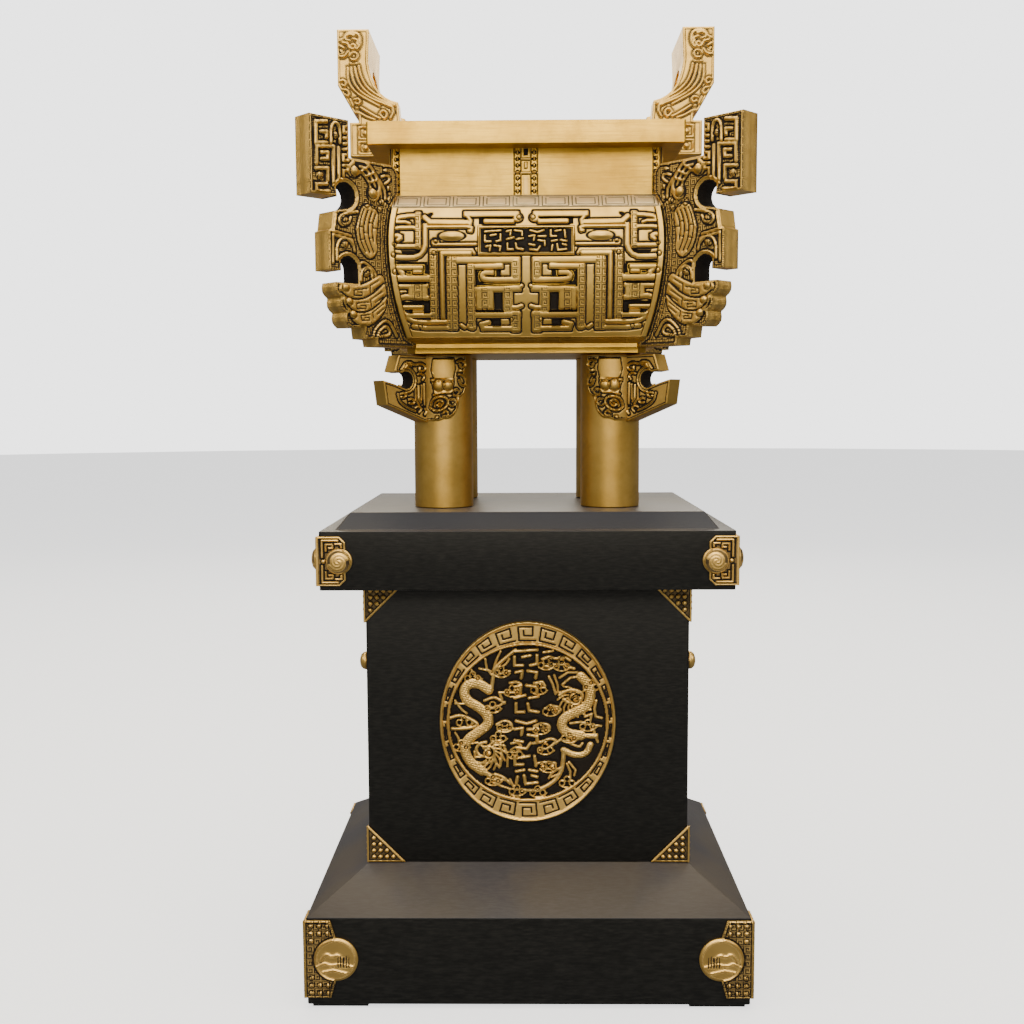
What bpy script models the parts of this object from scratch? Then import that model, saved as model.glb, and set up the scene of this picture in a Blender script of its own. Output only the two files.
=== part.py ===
"""Rectangular four-legged bronze vessel with hooked corner ribs, standing on a black
wooden pedestal with bronze fittings. Metres, +Z up, the front faces -Y."""
import math

import bmesh
import bpy
from mathutils import Matrix, Vector

for old in list(bpy.data.objects):
    bpy.data.objects.remove(old, do_unlink=True)

# Clearance left between pieces that touch
GAP = 0.0003

# Finishes: colour, roughness, metallic
LACQUER = ((0.012, 0.012, 0.012), 0.35, 0.0)
BRONZE = ((0.42, 0.27, 0.075), 0.38, 1.0)

# Pedestal base: block, hipped top and feet
BASE_WIDTH = 0.396
BASE_DEPTH = 0.310
FOOT_HEIGHT = 0.004
FOOT_LENGTH = 0.050
FOOT_INSET = 0.004
BASE_BLOCK_HEIGHT = 0.0797
BASE_ROOF_HEIGHT = 0.0318
WOOD_EDGE = 0.0012

# Pedestal shaft
SHAFT_WIDTH = 0.295
SHAFT_DEPTH = 0.209
SHAFT_HEIGHT = 0.2598

# Pedestal cap: slab and bevelled tier
CAP_WIDTH = 0.3660
CAP_DEPTH = 0.2800
CAP_SLAB_HEIGHT = 0.0523
TIER_LEDGE = 0.0125
TIER_BEVEL_RUN = 0.012
TIER_HEIGHT = 0.0148

# Sheet fittings on the wood
SHEET = 0.0025
BASE_FITTING_BELOW_TOP = 0.0017
BASE_FITTING_ABOVE_FEET = 0.007
BASE_LEAF_END = 0.0215
BASE_LEAF_WAIST = 0.0275
BASE_DISC_RADIUS = 0.0196
BASE_DISC_FROM_EDGE = 0.0265
DISC_RISE = 0.0015
DISC_RIM = 0.0018
CAP_FITTING_MARGIN = 0.0044
CAP_LEAF_WIDTH = 0.0235
CAP_LEAF_CORNER = 0.005
CAP_BOSS_RADIUS = 0.0114
CAP_BOSS_FROM_EDGE = 0.018
CAP_BOSS_HEIGHT = 0.0065
TRIANGLE_LEG = 0.034
TRIANGLE_SHEET = 0.0018
TRIANGLE_BORDER = 0.003
TRIANGLE_SINK = 0.0007

# Oval plaque on the shaft
PLAQUE_HALF_WIDTH = 0.0805
PLAQUE_HALF_HEIGHT = 0.0933
PLAQUE_CENTRE_BELOW_SHAFT_TOP = 0.1265
PLAQUE_RING_INNER = 0.0715
PLAQUE_BACK = 0.0025
PLAQUE_RING_THICKNESS = 0.0045
PLAQUE_LIP = 0.0028
PLAQUE_LIP_RISE = 0.0015
PLAQUE_RELIEF = 0.0035
PLAQUE_SIDES = 36
COIL_FROM_MIDDLE = 0.040
COIL_SWING = 0.014
COIL_TURNS = 1.15
COIL_TOP = 0.045
COIL_LENGTH = 0.092
COIL_HALF_THICKNESS = 0.0062
COIL_STEPS = 14
SIGN_COUNT = 4
SIGN_PITCH = 0.0305
SIGN_TOP = 0.046
SIGN_HALF_WIDTH = 0.0110
SIGN_HALF_HEIGHT = 0.0115

# Side bosses
BOSS_BELOW_SHAFT_TOP = 0.0925
BOSS_PLATE_RADIUS = 0.020
BOSS_KNOB_RADIUS = 0.009
BOSS_PLATE_EDGE = 0.0030
BOSS_PLATE_FACE = 0.0050
BOSS_NECK = 0.0085
BOSS_KNOB_MIDDLE = 0.0130
BOSS_KNOB_TOP = 0.0180
BOSS_REACH = 0.0205

# Legs
LEG_RADIUS = 0.0275
LEG_CENTRE_X = 0.0782
LEG_CENTRE_Y = 0.0525
LEG_HEIGHT = 0.1414
LEG_SIDES = 26
HOOK_THICKNESS = 0.016
# Hook outline: distance out from the leg's axis and drop below the leg's top
HOOK_ROOT = 0.0160
HOOK_BELOW_LEG_TOP = 0.0015
HOOK_SHELF_END = 0.0590
SLOT_UPPER_LIP = (0.0643, 0.0163)
SLOT_CENTRE = (0.0508, 0.0238)
SLOT_RADIUS = 0.0078
SLOT_LOWER_LIP = (0.0640, 0.0275)
HOOK_BEAK = (0.0768, 0.0243)
HOOK_BEAK_FOOT = (0.0735, 0.0462)
HOOK_FOOT = (0.0285, 0.0620)
# Mask wrapped round the leg's outer side
MASK_SWEEP = math.radians(99.0)
MASK_THICKNESS = 0.0025
MASK_HEIGHT = 0.0585
MASK_LOBE = 0.003
MASK_LOBES = 3.5
MASK_ENDS_RISE = 0.030
MASK_ROOT = 0.002
MASK_STEPS = 14
EYE_TURN = 0.75
EYE_BELOW_LEG_TOP = 0.030
EYE_RADIUS = 0.0062
EYE_ROOT = 0.0012
EYE_LENGTH = 0.0030

# Tank: half depth of each moulding; half widths are larger by WIDTH_OVER_DEPTH
WIDTH_OVER_DEPTH = 0.0197
FLOOR_HALF_DEPTH = 0.089
FLOOR_PLATE_HEIGHT = 0.0045
SKIRT_HALF_DEPTH = 0.0965
SKIRT_HEIGHT = 0.0035
BELLY_FOOT_HALF_DEPTH = 0.1043
BELLY_FOOT_RISE = 0.0135
BELLY_MAX_HALF_DEPTH = 0.1180
BELLY_MAX_RISE = 0.0965
BELLY_TOP_HALF_DEPTH = 0.1148
BELLY_TOP_RISE = 0.1255
NECK_HALF_DEPTH = 0.0998
NECK_FOOT_RISE = 0.1385
NECK_TOP_RISE = 0.1790
RIM_OVERHANG = 0.0192
RIM_THICKNESS = 0.020
WALL = 0.005
FLOOR_THICKNESS = 0.009
BELLY_CHAMFER = 0.0170
FLOOR_CHAMFER = 0.0080
EDGE_CHAMFER = 0.0012

# Belly carving: a grid of columns and rows, the raised cells listed as bars
CARVING_RISE = 0.0016
CARVING_ROWS = 12
INNER_COLUMNS = 13
OUTER_COLUMNS = 6
INNER_REACH_X = 0.0832
INNER_REACH_Y = 0.0676
CARVING_MARGIN = 0.003
# Each bar: first and last column counted from the middle, first and last row from the top
SIDE_BARS = (
    (0, 5, 2, 3),
    (7, 12, 2, 3),
    (14, 15, 0, 3),
    (13, 18, 5, 5),
    (13, 18, 8, 8),
    (9, 10, 5, 11),
    (1, 7, 5, 5),
    (3, 6, 8, 9),
)
LONG_BARS = SIDE_BARS + (
    (1, 7, 0, 0),
    (14, 18, 10, 10),
    (12, 12, 5, 10),
    (7, 7, 7, 11),
    (1, 5, 11, 11),
)

# Corner ribs, drawn in the diagonal plane from the neck corner outward
FLANGE_THICKNESS = 0.022
BLOCK_INNER = 0.0535
BLOCK_OUTER = 0.0933
BLOCK_TOP_ABOVE_NECK_FOOT = 0.0550
BLOCK_HEIGHT = 0.0645
BLOCK_NOTCH = 0.0130
NECK_CLEARANCE = 0.0012
WEB_HEIGHT = 0.0240
WEB_ROUND = 0.0060
POCKET_RADIUS = 0.0110
POCKET_CENTRE = (0.0585, -0.0078)
NOSE_TOP = (0.0706, -0.0220)
NOSE_STEP = (0.0728, -0.0366)
NOSE_TIP = (0.0756, -0.0381)
NOSE_HEIGHT = 0.0328
LOWER_POCKET_RADIUS = 0.0100
LOWER_POCKET_CENTRE = (0.0560, -0.0684)
LOWER_POCKET_FLOOR = -0.0807
LOWER_POCKET_MOUTH = 0.0075
SCALE_START = (0.0687, -0.0807)
SCALE_END = (0.0540, -0.1185)
SCALE_BULGE = 0.0028
SCALE_COUNT = 3
FOOT_STEPS = ((0.0392, -0.1177), (0.0378, -0.1272), (0.0269, -0.1276), (0.0257, -0.1345))
FACE_SINK = 0.0012
FACE_BOSS_RADIUS = 0.0038
FACE_BOSS_RISE = 0.0025
FACE_BOSSES = ((0.0475, 0.0130), (0.0330, -0.0055), (0.0640, -0.0300))

# Ears
EAR_DEPTH = 0.085
EAR_FOOT_IN = 0.0231
EAR_HEIGHT = 0.1005
EAR_TOP_INNER = 0.0060
EAR_TOP_OUTER = 0.0356
# Points of the section: out from the rim's end and up from the rim's top
EAR_BEND = ((-0.0203, 0.0345), (0.0040, 0.0390), (0.0072, 0.0715))
EAR_BACK_FOOT = 0.0500
EAR_HEEL = (0.0210, 0.0245)
EAR_NOTCH = (0.0165, 0.0164)
EAR_LAP_OUT = 0.0250
EAR_LAP_DROP = 0.0150
EAR_CUT_REACH = 0.060
EAR_ARCH_WIDTH = 0.044
EAR_ARCH_SPRING = 0.050
EAR_ARCH_SILL = 0.014

# Heights that follow from the sizes above
BASE_TOP_Z = FOOT_HEIGHT + BASE_BLOCK_HEIGHT
ROOF_TOP_Z = BASE_TOP_Z + BASE_ROOF_HEIGHT
SHAFT_FOOT_Z = ROOF_TOP_Z + GAP
SHAFT_TOP_Z = SHAFT_FOOT_Z + SHAFT_HEIGHT
CAP_FOOT_Z = SHAFT_TOP_Z + GAP
SLAB_TOP_Z = CAP_FOOT_Z + CAP_SLAB_HEIGHT
TIER_TOP_Z = SLAB_TOP_Z + TIER_HEIGHT
LEG_FOOT_Z = TIER_TOP_Z + GAP
LEG_TOP_Z = LEG_FOOT_Z + LEG_HEIGHT
TANK_FOOT_Z = LEG_TOP_Z + GAP
NECK_FOOT_Z = TANK_FOOT_Z + NECK_FOOT_RISE
RIM_FOOT_Z = TANK_FOOT_Z + NECK_TOP_RISE
RIM_TOP_Z = RIM_FOOT_Z + RIM_THICKNESS
NECK_HALF_WIDTH = NECK_HALF_DEPTH + WIDTH_OVER_DEPTH
RIM_HALF_WIDTH = NECK_HALF_WIDTH + RIM_OVERHANG

DIAGONAL = math.sqrt(2.0)
CORNERS = (
    ("front_left", -1, -1),
    ("front_right", 1, -1),
    ("back_left", -1, 1),
    ("back_right", 1, 1),
)


def make_material(name, color, roughness, metallic):
    material = bpy.data.materials.new(name)
    material.use_nodes = True
    shader = material.node_tree.nodes["Principled BSDF"]
    shader.inputs["Base Color"].default_value = (*color, 1.0)
    shader.inputs["Roughness"].default_value = roughness
    shader.inputs["Metallic"].default_value = metallic
    material.diffuse_color = (*color, 1.0)
    return material


def make_node(name, bm, color, roughness, metallic, smooth_angle=0.0):
    bmesh.ops.recalc_face_normals(bm, faces=bm.faces)
    mesh = bpy.data.meshes.new(name)
    bm.to_mesh(mesh)
    bm.free()
    mesh.materials.append(make_material(name, color, roughness, metallic))
    if smooth_angle:
        mesh.shade_smooth()
        mesh.set_sharp_from_angle(angle=smooth_angle)
    node = bpy.data.objects.new(name, mesh)
    bpy.context.scene.collection.objects.link(node)
    return node


def combine(base, others, operation="UNION"):
    """Booleans the other bodies into the base body and returns the new mesh data."""
    body = bpy.data.objects.new("body", bpy.data.meshes.new("body"))
    base.to_mesh(body.data)
    base.free()
    bpy.context.scene.collection.objects.link(body)
    tools = []
    for index, other in enumerate(others):
        bmesh.ops.recalc_face_normals(other, faces=other.faces)
        tool = bpy.data.objects.new(f"tool_{index}", bpy.data.meshes.new("tool"))
        other.to_mesh(tool.data)
        other.free()
        bpy.context.scene.collection.objects.link(tool)
        modifier = body.modifiers.new(f"step_{index}", "BOOLEAN")
        modifier.operation = operation
        modifier.solver = "EXACT"
        modifier.object = tool
        tools.append(tool)
    graph = bpy.context.evaluated_depsgraph_get()
    result = bmesh.new()
    result.from_mesh(body.evaluated_get(graph).to_mesh())
    for scrap in (*tools, body):
        bpy.data.objects.remove(scrap, do_unlink=True)
    bmesh.ops.remove_doubles(result, verts=result.verts, dist=0.00003)
    bmesh.ops.dissolve_degenerate(result, dist=0.00003, edges=result.edges)
    bmesh.ops.dissolve_limit(
        result, angle_limit=0.0005, use_dissolve_boundaries=False,
        verts=result.verts, edges=result.edges, delimit={"NORMAL"},
    )
    return result


def prism(outline, low, high, place=None):
    """Extrudes a flat outline of (a, b) points from depth low to depth high."""
    bm = bmesh.new()
    face = bm.faces.new([bm.verts.new((a, b, low)) for a, b in outline])
    made = bmesh.ops.extrude_face_region(bm, geom=[face])
    top = [item for item in made["geom"] if isinstance(item, bmesh.types.BMVert)]
    bmesh.ops.translate(bm, verts=top, vec=(0.0, 0.0, high - low))
    bmesh.ops.recalc_face_normals(bm, faces=bm.faces)
    if place is not None:
        bmesh.ops.transform(bm, matrix=place, verts=bm.verts)
    return bm


def arc(centre, radius, start, end, count):
    """Points of an arc, angles in degrees."""
    points = []
    for step in range(count + 1):
        angle = math.radians(start + (end - start) * step / count)
        points.append((centre[0] + radius * math.cos(angle), centre[1] + radius * math.sin(angle)))
    return points


def frame_matrix(origin, a_axis, b_axis):
    """Places local a, b and depth on three world directions."""
    a_dir = Vector(a_axis).normalized()
    b_dir = Vector(b_axis).normalized()
    depth = a_dir.cross(b_dir)
    turn = Matrix((a_dir, b_dir, depth)).transposed().to_4x4()
    return Matrix.Translation(origin) @ turn


def loft(rings, close_ends=True):
    """Joins equal rings of points in order; a ring is a closed loop."""
    bm = bmesh.new()
    loops = [[bm.verts.new(point) for point in ring] for ring in rings]
    count = len(loops[0])
    for lower, upper in zip(loops, loops[1:]):
        for index in range(count):
            nxt = (index + 1) % count
            bm.faces.new((lower[index], lower[nxt], upper[nxt], upper[index]))
    if close_ends:
        bm.faces.new(list(reversed(loops[0])))
        bm.faces.new(loops[-1])
    return bm


def rectangle_ring(half_width, half_depth, z, chamfer):
    ring = []
    for sx, sy, first_x in ((1, -1, True), (1, 1, False), (-1, 1, True), (-1, -1, False)):
        along_x = (sx * (half_width - chamfer), sy * half_depth, z)
        along_y = (sx * half_width, sy * (half_depth - chamfer), z)
        ring.extend((along_x, along_y) if first_x else (along_y, along_x))
    return ring


# Pedestal base: a block with a hipped top and four low feet in one piece with it
base_half = (BASE_WIDTH / 2, BASE_DEPTH / 2)
base = loft([
    rectangle_ring(base_half[0], base_half[1], FOOT_HEIGHT, WOOD_EDGE),
    rectangle_ring(base_half[0], base_half[1], BASE_TOP_Z, WOOD_EDGE),
    rectangle_ring(SHAFT_WIDTH / 2, SHAFT_DEPTH / 2, ROOF_TOP_Z, WOOD_EDGE),
])
feet = []
for _, sx, sy in CORNERS:
    foot = bmesh.new()
    middle = (
        sx * (base_half[0] - FOOT_INSET - FOOT_LENGTH / 2),
        sy * (base_half[1] - FOOT_INSET - FOOT_LENGTH / 2),
        FOOT_HEIGHT,
    )
    size = Matrix.Diagonal((FOOT_LENGTH, FOOT_LENGTH, 2 * FOOT_HEIGHT, 1.0))
    bmesh.ops.create_cube(foot, size=1.0, matrix=Matrix.Translation(middle) @ size)
    feet.append(foot)
make_node("plinth_base", combine(base, feet), *LACQUER)

# Pedestal shaft
make_node("plinth_shaft", loft([
    rectangle_ring(SHAFT_WIDTH / 2, SHAFT_DEPTH / 2, z, WOOD_EDGE)
    for z in (SHAFT_FOOT_Z, SHAFT_TOP_Z)
]), *LACQUER)

# Pedestal cap: slab, ledge and bevelled tier in one stack
tier_foot = (CAP_WIDTH / 2 - TIER_LEDGE, CAP_DEPTH / 2 - TIER_LEDGE)
make_node("plinth_cap", loft([
    rectangle_ring(CAP_WIDTH / 2, CAP_DEPTH / 2, CAP_FOOT_Z, WOOD_EDGE),
    rectangle_ring(CAP_WIDTH / 2, CAP_DEPTH / 2, SLAB_TOP_Z, WOOD_EDGE),
    rectangle_ring(tier_foot[0], tier_foot[1], SLAB_TOP_Z, WOOD_EDGE),
    rectangle_ring(tier_foot[0] - TIER_BEVEL_RUN, tier_foot[1] - TIER_BEVEL_RUN, TIER_TOP_Z, WOOD_EDGE),
]), *LACQUER)


def corner_wrap(outline, sheet, half_width, half_depth, sx, sy):
    """Two mirrored leaves of sheet round a vertical corner, mitred into one body.

    The outline runs (distance from the corner, z) and begins and ends on the corner."""
    inner = [(s if s > 0 else -GAP, z) for s, z in outline]
    outer = [(s if s > 0 else -GAP - sheet, z) for s, z in outline]
    bm = bmesh.new()
    for swap in (False, True):
        loops = []
        for points, depth in ((inner, GAP), (outer, GAP + sheet)):
            loop = []
            for s, z in points:
                along, out = half_width - s, half_depth + depth
                if swap:
                    along, out = half_width + depth, half_depth - s
                loop.append(bm.verts.new((sx * along, sy * out, z)))
            loops.append(loop)
        bm.faces.new(loops[0])
        bm.faces.new(loops[1])
        for index in range(len(outline) - 1):
            bm.faces.new((loops[0][index], loops[0][index + 1], loops[1][index + 1], loops[1][index]))
    bmesh.ops.remove_doubles(bm, verts=bm.verts, dist=0.00001)
    bmesh.ops.recalc_face_normals(bm, faces=bm.faces)
    return bm


def leaf_frames(half_width, half_depth, from_edge, z, sx, sy):
    """Frames on the two faces beside a corner, depth pointing outward."""
    front = frame_matrix((sx * (half_width - from_edge), sy * half_depth, z), (-sy, 0, 0), (0, 0, 1))
    side = frame_matrix((sx * half_width, sy * (half_depth - from_edge), z), (0, sx, 0), (0, 0, 1))
    return front, side


def round_body(profile, place, sides):
    """Turns (radius, depth) points round the depth axis; radius 0 closes the end."""
    bm = bmesh.new()
    chain = [bm.verts.new((radius, 0.0, depth)) for radius, depth in profile]
    edges = [bm.edges.new(pair) for pair in zip(chain, chain[1:])]
    bmesh.ops.spin(
        bm, geom=[*chain, *edges], cent=(0, 0, 0), axis=(0, 0, 1), angle=math.tau,
        steps=sides, use_merge=False,
    )
    bmesh.ops.remove_doubles(bm, verts=bm.verts, dist=0.00001)
    bmesh.ops.transform(bm, matrix=place, verts=bm.verts)
    bmesh.ops.recalc_face_normals(bm, faces=bm.faces)
    return bm


# Base corner fittings: studded leaves with a rimmed disc on each face
fitting_low = FOOT_HEIGHT + BASE_FITTING_ABOVE_FEET
fitting_high = BASE_TOP_Z - BASE_FITTING_BELOW_TOP
disc_z = (fitting_low + fitting_high) / 2
base_leaf = [
    (0.0, fitting_low),
    (BASE_LEAF_END, fitting_low),
    (BASE_LEAF_WAIST, disc_z - BASE_DISC_RADIUS * 0.8),
    (BASE_LEAF_WAIST, disc_z + BASE_DISC_RADIUS * 0.8),
    (BASE_LEAF_END, fitting_high),
    (0.0, fitting_high),
]
disc_face = GAP + SHEET + DISC_RISE
disc_profile = [
    (0.0, GAP + SHEET / 4),
    (BASE_DISC_RADIUS, GAP + SHEET / 4),
    (BASE_DISC_RADIUS, disc_face),
    (BASE_DISC_RADIUS - DISC_RIM, disc_face),
    (BASE_DISC_RADIUS - DISC_RIM, disc_face - DISC_RISE / 2),
    (0.0, disc_face - DISC_RISE / 3),
]
for corner, sx, sy in CORNERS:
    leaves = corner_wrap(base_leaf, SHEET, base_half[0], base_half[1], sx, sy)
    frames = leaf_frames(base_half[0], base_half[1], BASE_DISC_FROM_EDGE, disc_z, sx, sy)
    discs = [round_body(disc_profile, frame, 14) for frame in frames]
    make_node(f"base_corner_{corner}", combine(leaves, discs), *BRONZE)

# Cap corner fittings: chamfered leaves with a domed boss on each face
cap_low = CAP_FOOT_Z + CAP_FITTING_MARGIN
cap_high = SLAB_TOP_Z - CAP_FITTING_MARGIN
cap_leaf = [
    (0.0, cap_low),
    (CAP_LEAF_WIDTH - CAP_LEAF_CORNER, cap_low),
    (CAP_LEAF_WIDTH, cap_low + CAP_LEAF_CORNER),
    (CAP_LEAF_WIDTH, cap_high - CAP_LEAF_CORNER),
    (CAP_LEAF_WIDTH - CAP_LEAF_CORNER, cap_high),
    (0.0, cap_high),
]
dome_foot = GAP + SHEET / 2
dome_profile = [(0.0, dome_foot)]
for step in range(4):
    angle = math.radians(90.0 * step / 3)
    radius = CAP_BOSS_RADIUS * math.cos(angle) if step < 3 else 0.0
    dome_profile.append((radius, GAP + SHEET + CAP_BOSS_HEIGHT * math.sin(angle)))
for corner, sx, sy in CORNERS:
    leaves = corner_wrap(cap_leaf, SHEET, CAP_WIDTH / 2, CAP_DEPTH / 2, sx, sy)
    frames = leaf_frames(CAP_WIDTH / 2, CAP_DEPTH / 2, CAP_BOSS_FROM_EDGE, (cap_low + cap_high) / 2, sx, sy)
    domes = [round_body(dome_profile, frame, 14) for frame in frames]
    make_node(f"cap_corner_{corner}", combine(leaves, domes), *BRONZE, math.radians(40))

# Shaft corner fittings: a triangle on each face, its field sunk inside a border
for end, foot_z, rise in (("bottom", SHAFT_FOOT_Z + GAP, 1), ("top", SHAFT_TOP_Z - GAP, -1)):
    triangle = [(0.0, foot_z), (TRIANGLE_LEG, foot_z), (0.0, foot_z + rise * TRIANGLE_LEG)]
    for corner, sx, sy in CORNERS:
        wrap = corner_wrap(triangle, TRIANGLE_SHEET, SHAFT_WIDTH / 2, SHAFT_DEPTH / 2, sx, sy)
        reach_x = SHAFT_WIDTH / 2 + GAP + TRIANGLE_SHEET / 2
        reach_y = SHAFT_DEPTH / 2 + GAP + TRIANGLE_SHEET / 2
        fields = [
            face for face in wrap.faces
            if len(face.verts) == 3 and (
                abs(face.calc_center_median().x) > reach_x or abs(face.calc_center_median().y) > reach_y
            )
        ]
        for face in fields:
            bmesh.ops.inset_individual(wrap, faces=[face], thickness=TRIANGLE_BORDER, depth=0.0)
            bmesh.ops.inset_individual(wrap, faces=[face], thickness=TRIANGLE_SINK, depth=-TRIANGLE_SINK)
        make_node(f"shaft_corner_{end}_{corner}", wrap, *BRONZE)

# Oval plaque: two lips round a fret ring, a sunk round field with two coiled bodies
plaque_z = SHAFT_TOP_Z - PLAQUE_CENTRE_BELOW_SHAFT_TOP
plaque_place = frame_matrix((0.0, -SHAFT_DEPTH / 2 - GAP, plaque_z), (1, 0, 0), (0, 0, 1))
lip_top = PLAQUE_RING_THICKNESS + PLAQUE_LIP_RISE
ring_steps = (
    (0.0, 0.0, True),
    (0.0, PLAQUE_RING_THICKNESS, True),
    (PLAQUE_LIP / 2, lip_top, True),
    (PLAQUE_LIP, PLAQUE_RING_THICKNESS, True),
    (-PLAQUE_LIP, PLAQUE_RING_THICKNESS, False),
    (-PLAQUE_LIP / 2, lip_top, False),
    (0.0, PLAQUE_RING_THICKNESS, False),
    (0.0, PLAQUE_BACK, False),
)
rings = []
for inset, depth, oval in ring_steps:
    half_a = (PLAQUE_HALF_WIDTH if oval else PLAQUE_RING_INNER) - inset
    half_b = (PLAQUE_HALF_HEIGHT if oval else PLAQUE_RING_INNER) - inset
    rings.append([
        (
            half_a * math.cos(math.tau * i / PLAQUE_SIDES),
            half_b * math.sin(math.tau * i / PLAQUE_SIDES),
            depth,
        )
        for i in range(PLAQUE_SIDES)
    ])
plaque = loft(rings)
bmesh.ops.transform(plaque, matrix=plaque_place, verts=plaque.verts)
relief = []
for side in (-1, 1):
    spine = []
    for step in range(COIL_STEPS + 1):
        t = step / COIL_STEPS
        a = side * (COIL_FROM_MIDDLE + COIL_SWING * math.sin(math.tau * COIL_TURNS * t + 0.4))
        half = COIL_HALF_THICKNESS * math.sin(math.pi * (0.15 + 0.8 * t))
        spine.append((a, COIL_TOP - COIL_LENGTH * t, half))
    edge_out = [(a + half, b) for a, b, half in spine]
    edge_in = [(a - half, b) for a, b, half in reversed(spine)]
    relief.append(prism(edge_out + edge_in, PLAQUE_BACK / 2, PLAQUE_BACK + PLAQUE_RELIEF, plaque_place))
for row in range(SIGN_COUNT):
    low_b = SIGN_TOP - SIGN_PITCH * row - SIGN_HALF_HEIGHT
    high_b = low_b + 2 * SIGN_HALF_HEIGHT
    block = [
        (-SIGN_HALF_WIDTH, low_b),
        (SIGN_HALF_WIDTH, low_b),
        (SIGN_HALF_WIDTH, high_b),
        (-SIGN_HALF_WIDTH, high_b),
    ]
    relief.append(prism(block, PLAQUE_BACK / 2, PLAQUE_BACK + PLAQUE_RELIEF / 2, plaque_place))
make_node("shaft_medallion", combine(plaque, relief), *BRONZE)

# Side bosses: a round plate with a necked knob
boss_profile = [
    (0.0, GAP),
    (BOSS_PLATE_RADIUS, GAP),
    (BOSS_PLATE_RADIUS, BOSS_PLATE_EDGE),
    (BOSS_KNOB_RADIUS * 0.9, BOSS_PLATE_FACE),
    (BOSS_KNOB_RADIUS * 0.7, BOSS_NECK),
    (BOSS_KNOB_RADIUS, BOSS_KNOB_MIDDLE),
    (BOSS_KNOB_RADIUS * 0.8, BOSS_KNOB_TOP),
    (0.0, BOSS_REACH),
]
for side, sx in (("left", -1), ("right", 1)):
    spot = (sx * SHAFT_WIDTH / 2, 0.0, SHAFT_TOP_Z - BOSS_BELOW_SHAFT_TOP)
    place = frame_matrix(spot, (0, sx, 0), (0, 0, 1))
    make_node(f"side_boss_{side}", round_body(boss_profile, place, 12), *BRONZE, math.radians(40))

# Legs: a column with a lobed mask round its outer side and a hook along the diagonal
hook_outline = [
    (HOOK_ROOT, -HOOK_BELOW_LEG_TOP),
    (HOOK_SHELF_END, -HOOK_BELOW_LEG_TOP),
    (SLOT_UPPER_LIP[0], -SLOT_UPPER_LIP[1]),
    *arc((SLOT_CENTRE[0], -SLOT_CENTRE[1]), SLOT_RADIUS, 55, 275, 8),
    (SLOT_LOWER_LIP[0], -SLOT_LOWER_LIP[1]),
    (HOOK_BEAK[0], -HOOK_BEAK[1]),
    (HOOK_BEAK_FOOT[0], -HOOK_BEAK_FOOT[1]),
    (HOOK_FOOT[0], -HOOK_FOOT[1]),
    (HOOK_ROOT, -HOOK_FOOT[1]),
]
for corner, sx, sy in CORNERS:
    axis = (sx * LEG_CENTRE_X, sy * LEG_CENTRE_Y)
    column = bmesh.new()
    bmesh.ops.create_cone(
        column, cap_ends=True, segments=LEG_SIDES, radius1=LEG_RADIUS, radius2=LEG_RADIUS,
        depth=LEG_HEIGHT, matrix=Matrix.Translation((*axis, (LEG_FOOT_Z + LEG_TOP_Z) / 2)),
    )
    place = frame_matrix((*axis, LEG_TOP_Z), (sx, sy, 0), (0, 0, 1))
    hook = prism(hook_outline, -HOOK_THICKNESS / 2, HOOK_THICKNESS / 2, place)
    mask = bmesh.new()
    outward = math.atan2(sy, sx)
    columns = []
    for step in range(MASK_STEPS + 1):
        share = 2 * step / MASK_STEPS - 1
        angle = outward + share * MASK_SWEEP
        lobe = MASK_LOBE * abs(math.sin(math.pi * MASK_LOBES * share))
        low = LEG_TOP_Z - MASK_HEIGHT + MASK_ENDS_RISE * share ** 4 - lobe
        high = LEG_TOP_Z - GAP
        quad = []
        for radius, z in (
            (LEG_RADIUS - MASK_ROOT, low),
            (LEG_RADIUS + MASK_THICKNESS, low),
            (LEG_RADIUS + MASK_THICKNESS, high),
            (LEG_RADIUS - MASK_ROOT, high),
        ):
            spot = (axis[0] + radius * math.cos(angle), axis[1] + radius * math.sin(angle), z)
            quad.append(mask.verts.new(spot))
        columns.append(quad)
    for left, right in zip(columns, columns[1:]):
        for i in range(4):
            mask.faces.new((left[i], left[(i + 1) % 4], right[(i + 1) % 4], right[i]))
    mask.faces.new(columns[0])
    mask.faces.new(list(reversed(columns[-1])))
    bmesh.ops.triangulate(mask, faces=mask.faces)
    eyes = []
    for turn in (-1, 1):
        angle = outward + turn * EYE_TURN
        reach = LEG_RADIUS + MASK_THICKNESS - EYE_ROOT
        spot = (
            axis[0] + reach * math.cos(angle),
            axis[1] + reach * math.sin(angle),
            LEG_TOP_Z - EYE_BELOW_LEG_TOP,
        )
        facing = frame_matrix(spot, (-math.sin(angle), math.cos(angle), 0), (0, 0, 1))
        eyes.append(prism(arc((0, 0), EYE_RADIUS, 0, 315, 7), 0.0, EYE_LENGTH, facing))
    make_node(f"leg_{corner}", combine(column, [mask, hook, *eyes]), *BRONZE, math.radians(30))


def belly_half_depth(rise):
    """Outer half depth of the bulge at a height above the tank's foot."""
    if rise < BELLY_MAX_RISE:
        share = (BELLY_MAX_RISE - rise) / (BELLY_MAX_RISE - BELLY_FOOT_RISE)
        return BELLY_MAX_HALF_DEPTH - (BELLY_MAX_HALF_DEPTH - BELLY_FOOT_HALF_DEPTH) * share ** 2
    share = (rise - BELLY_MAX_RISE) / (BELLY_TOP_RISE - BELLY_MAX_RISE)
    return BELLY_MAX_HALF_DEPTH - (BELLY_MAX_HALF_DEPTH - BELLY_TOP_HALF_DEPTH) * share ** 2


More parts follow.
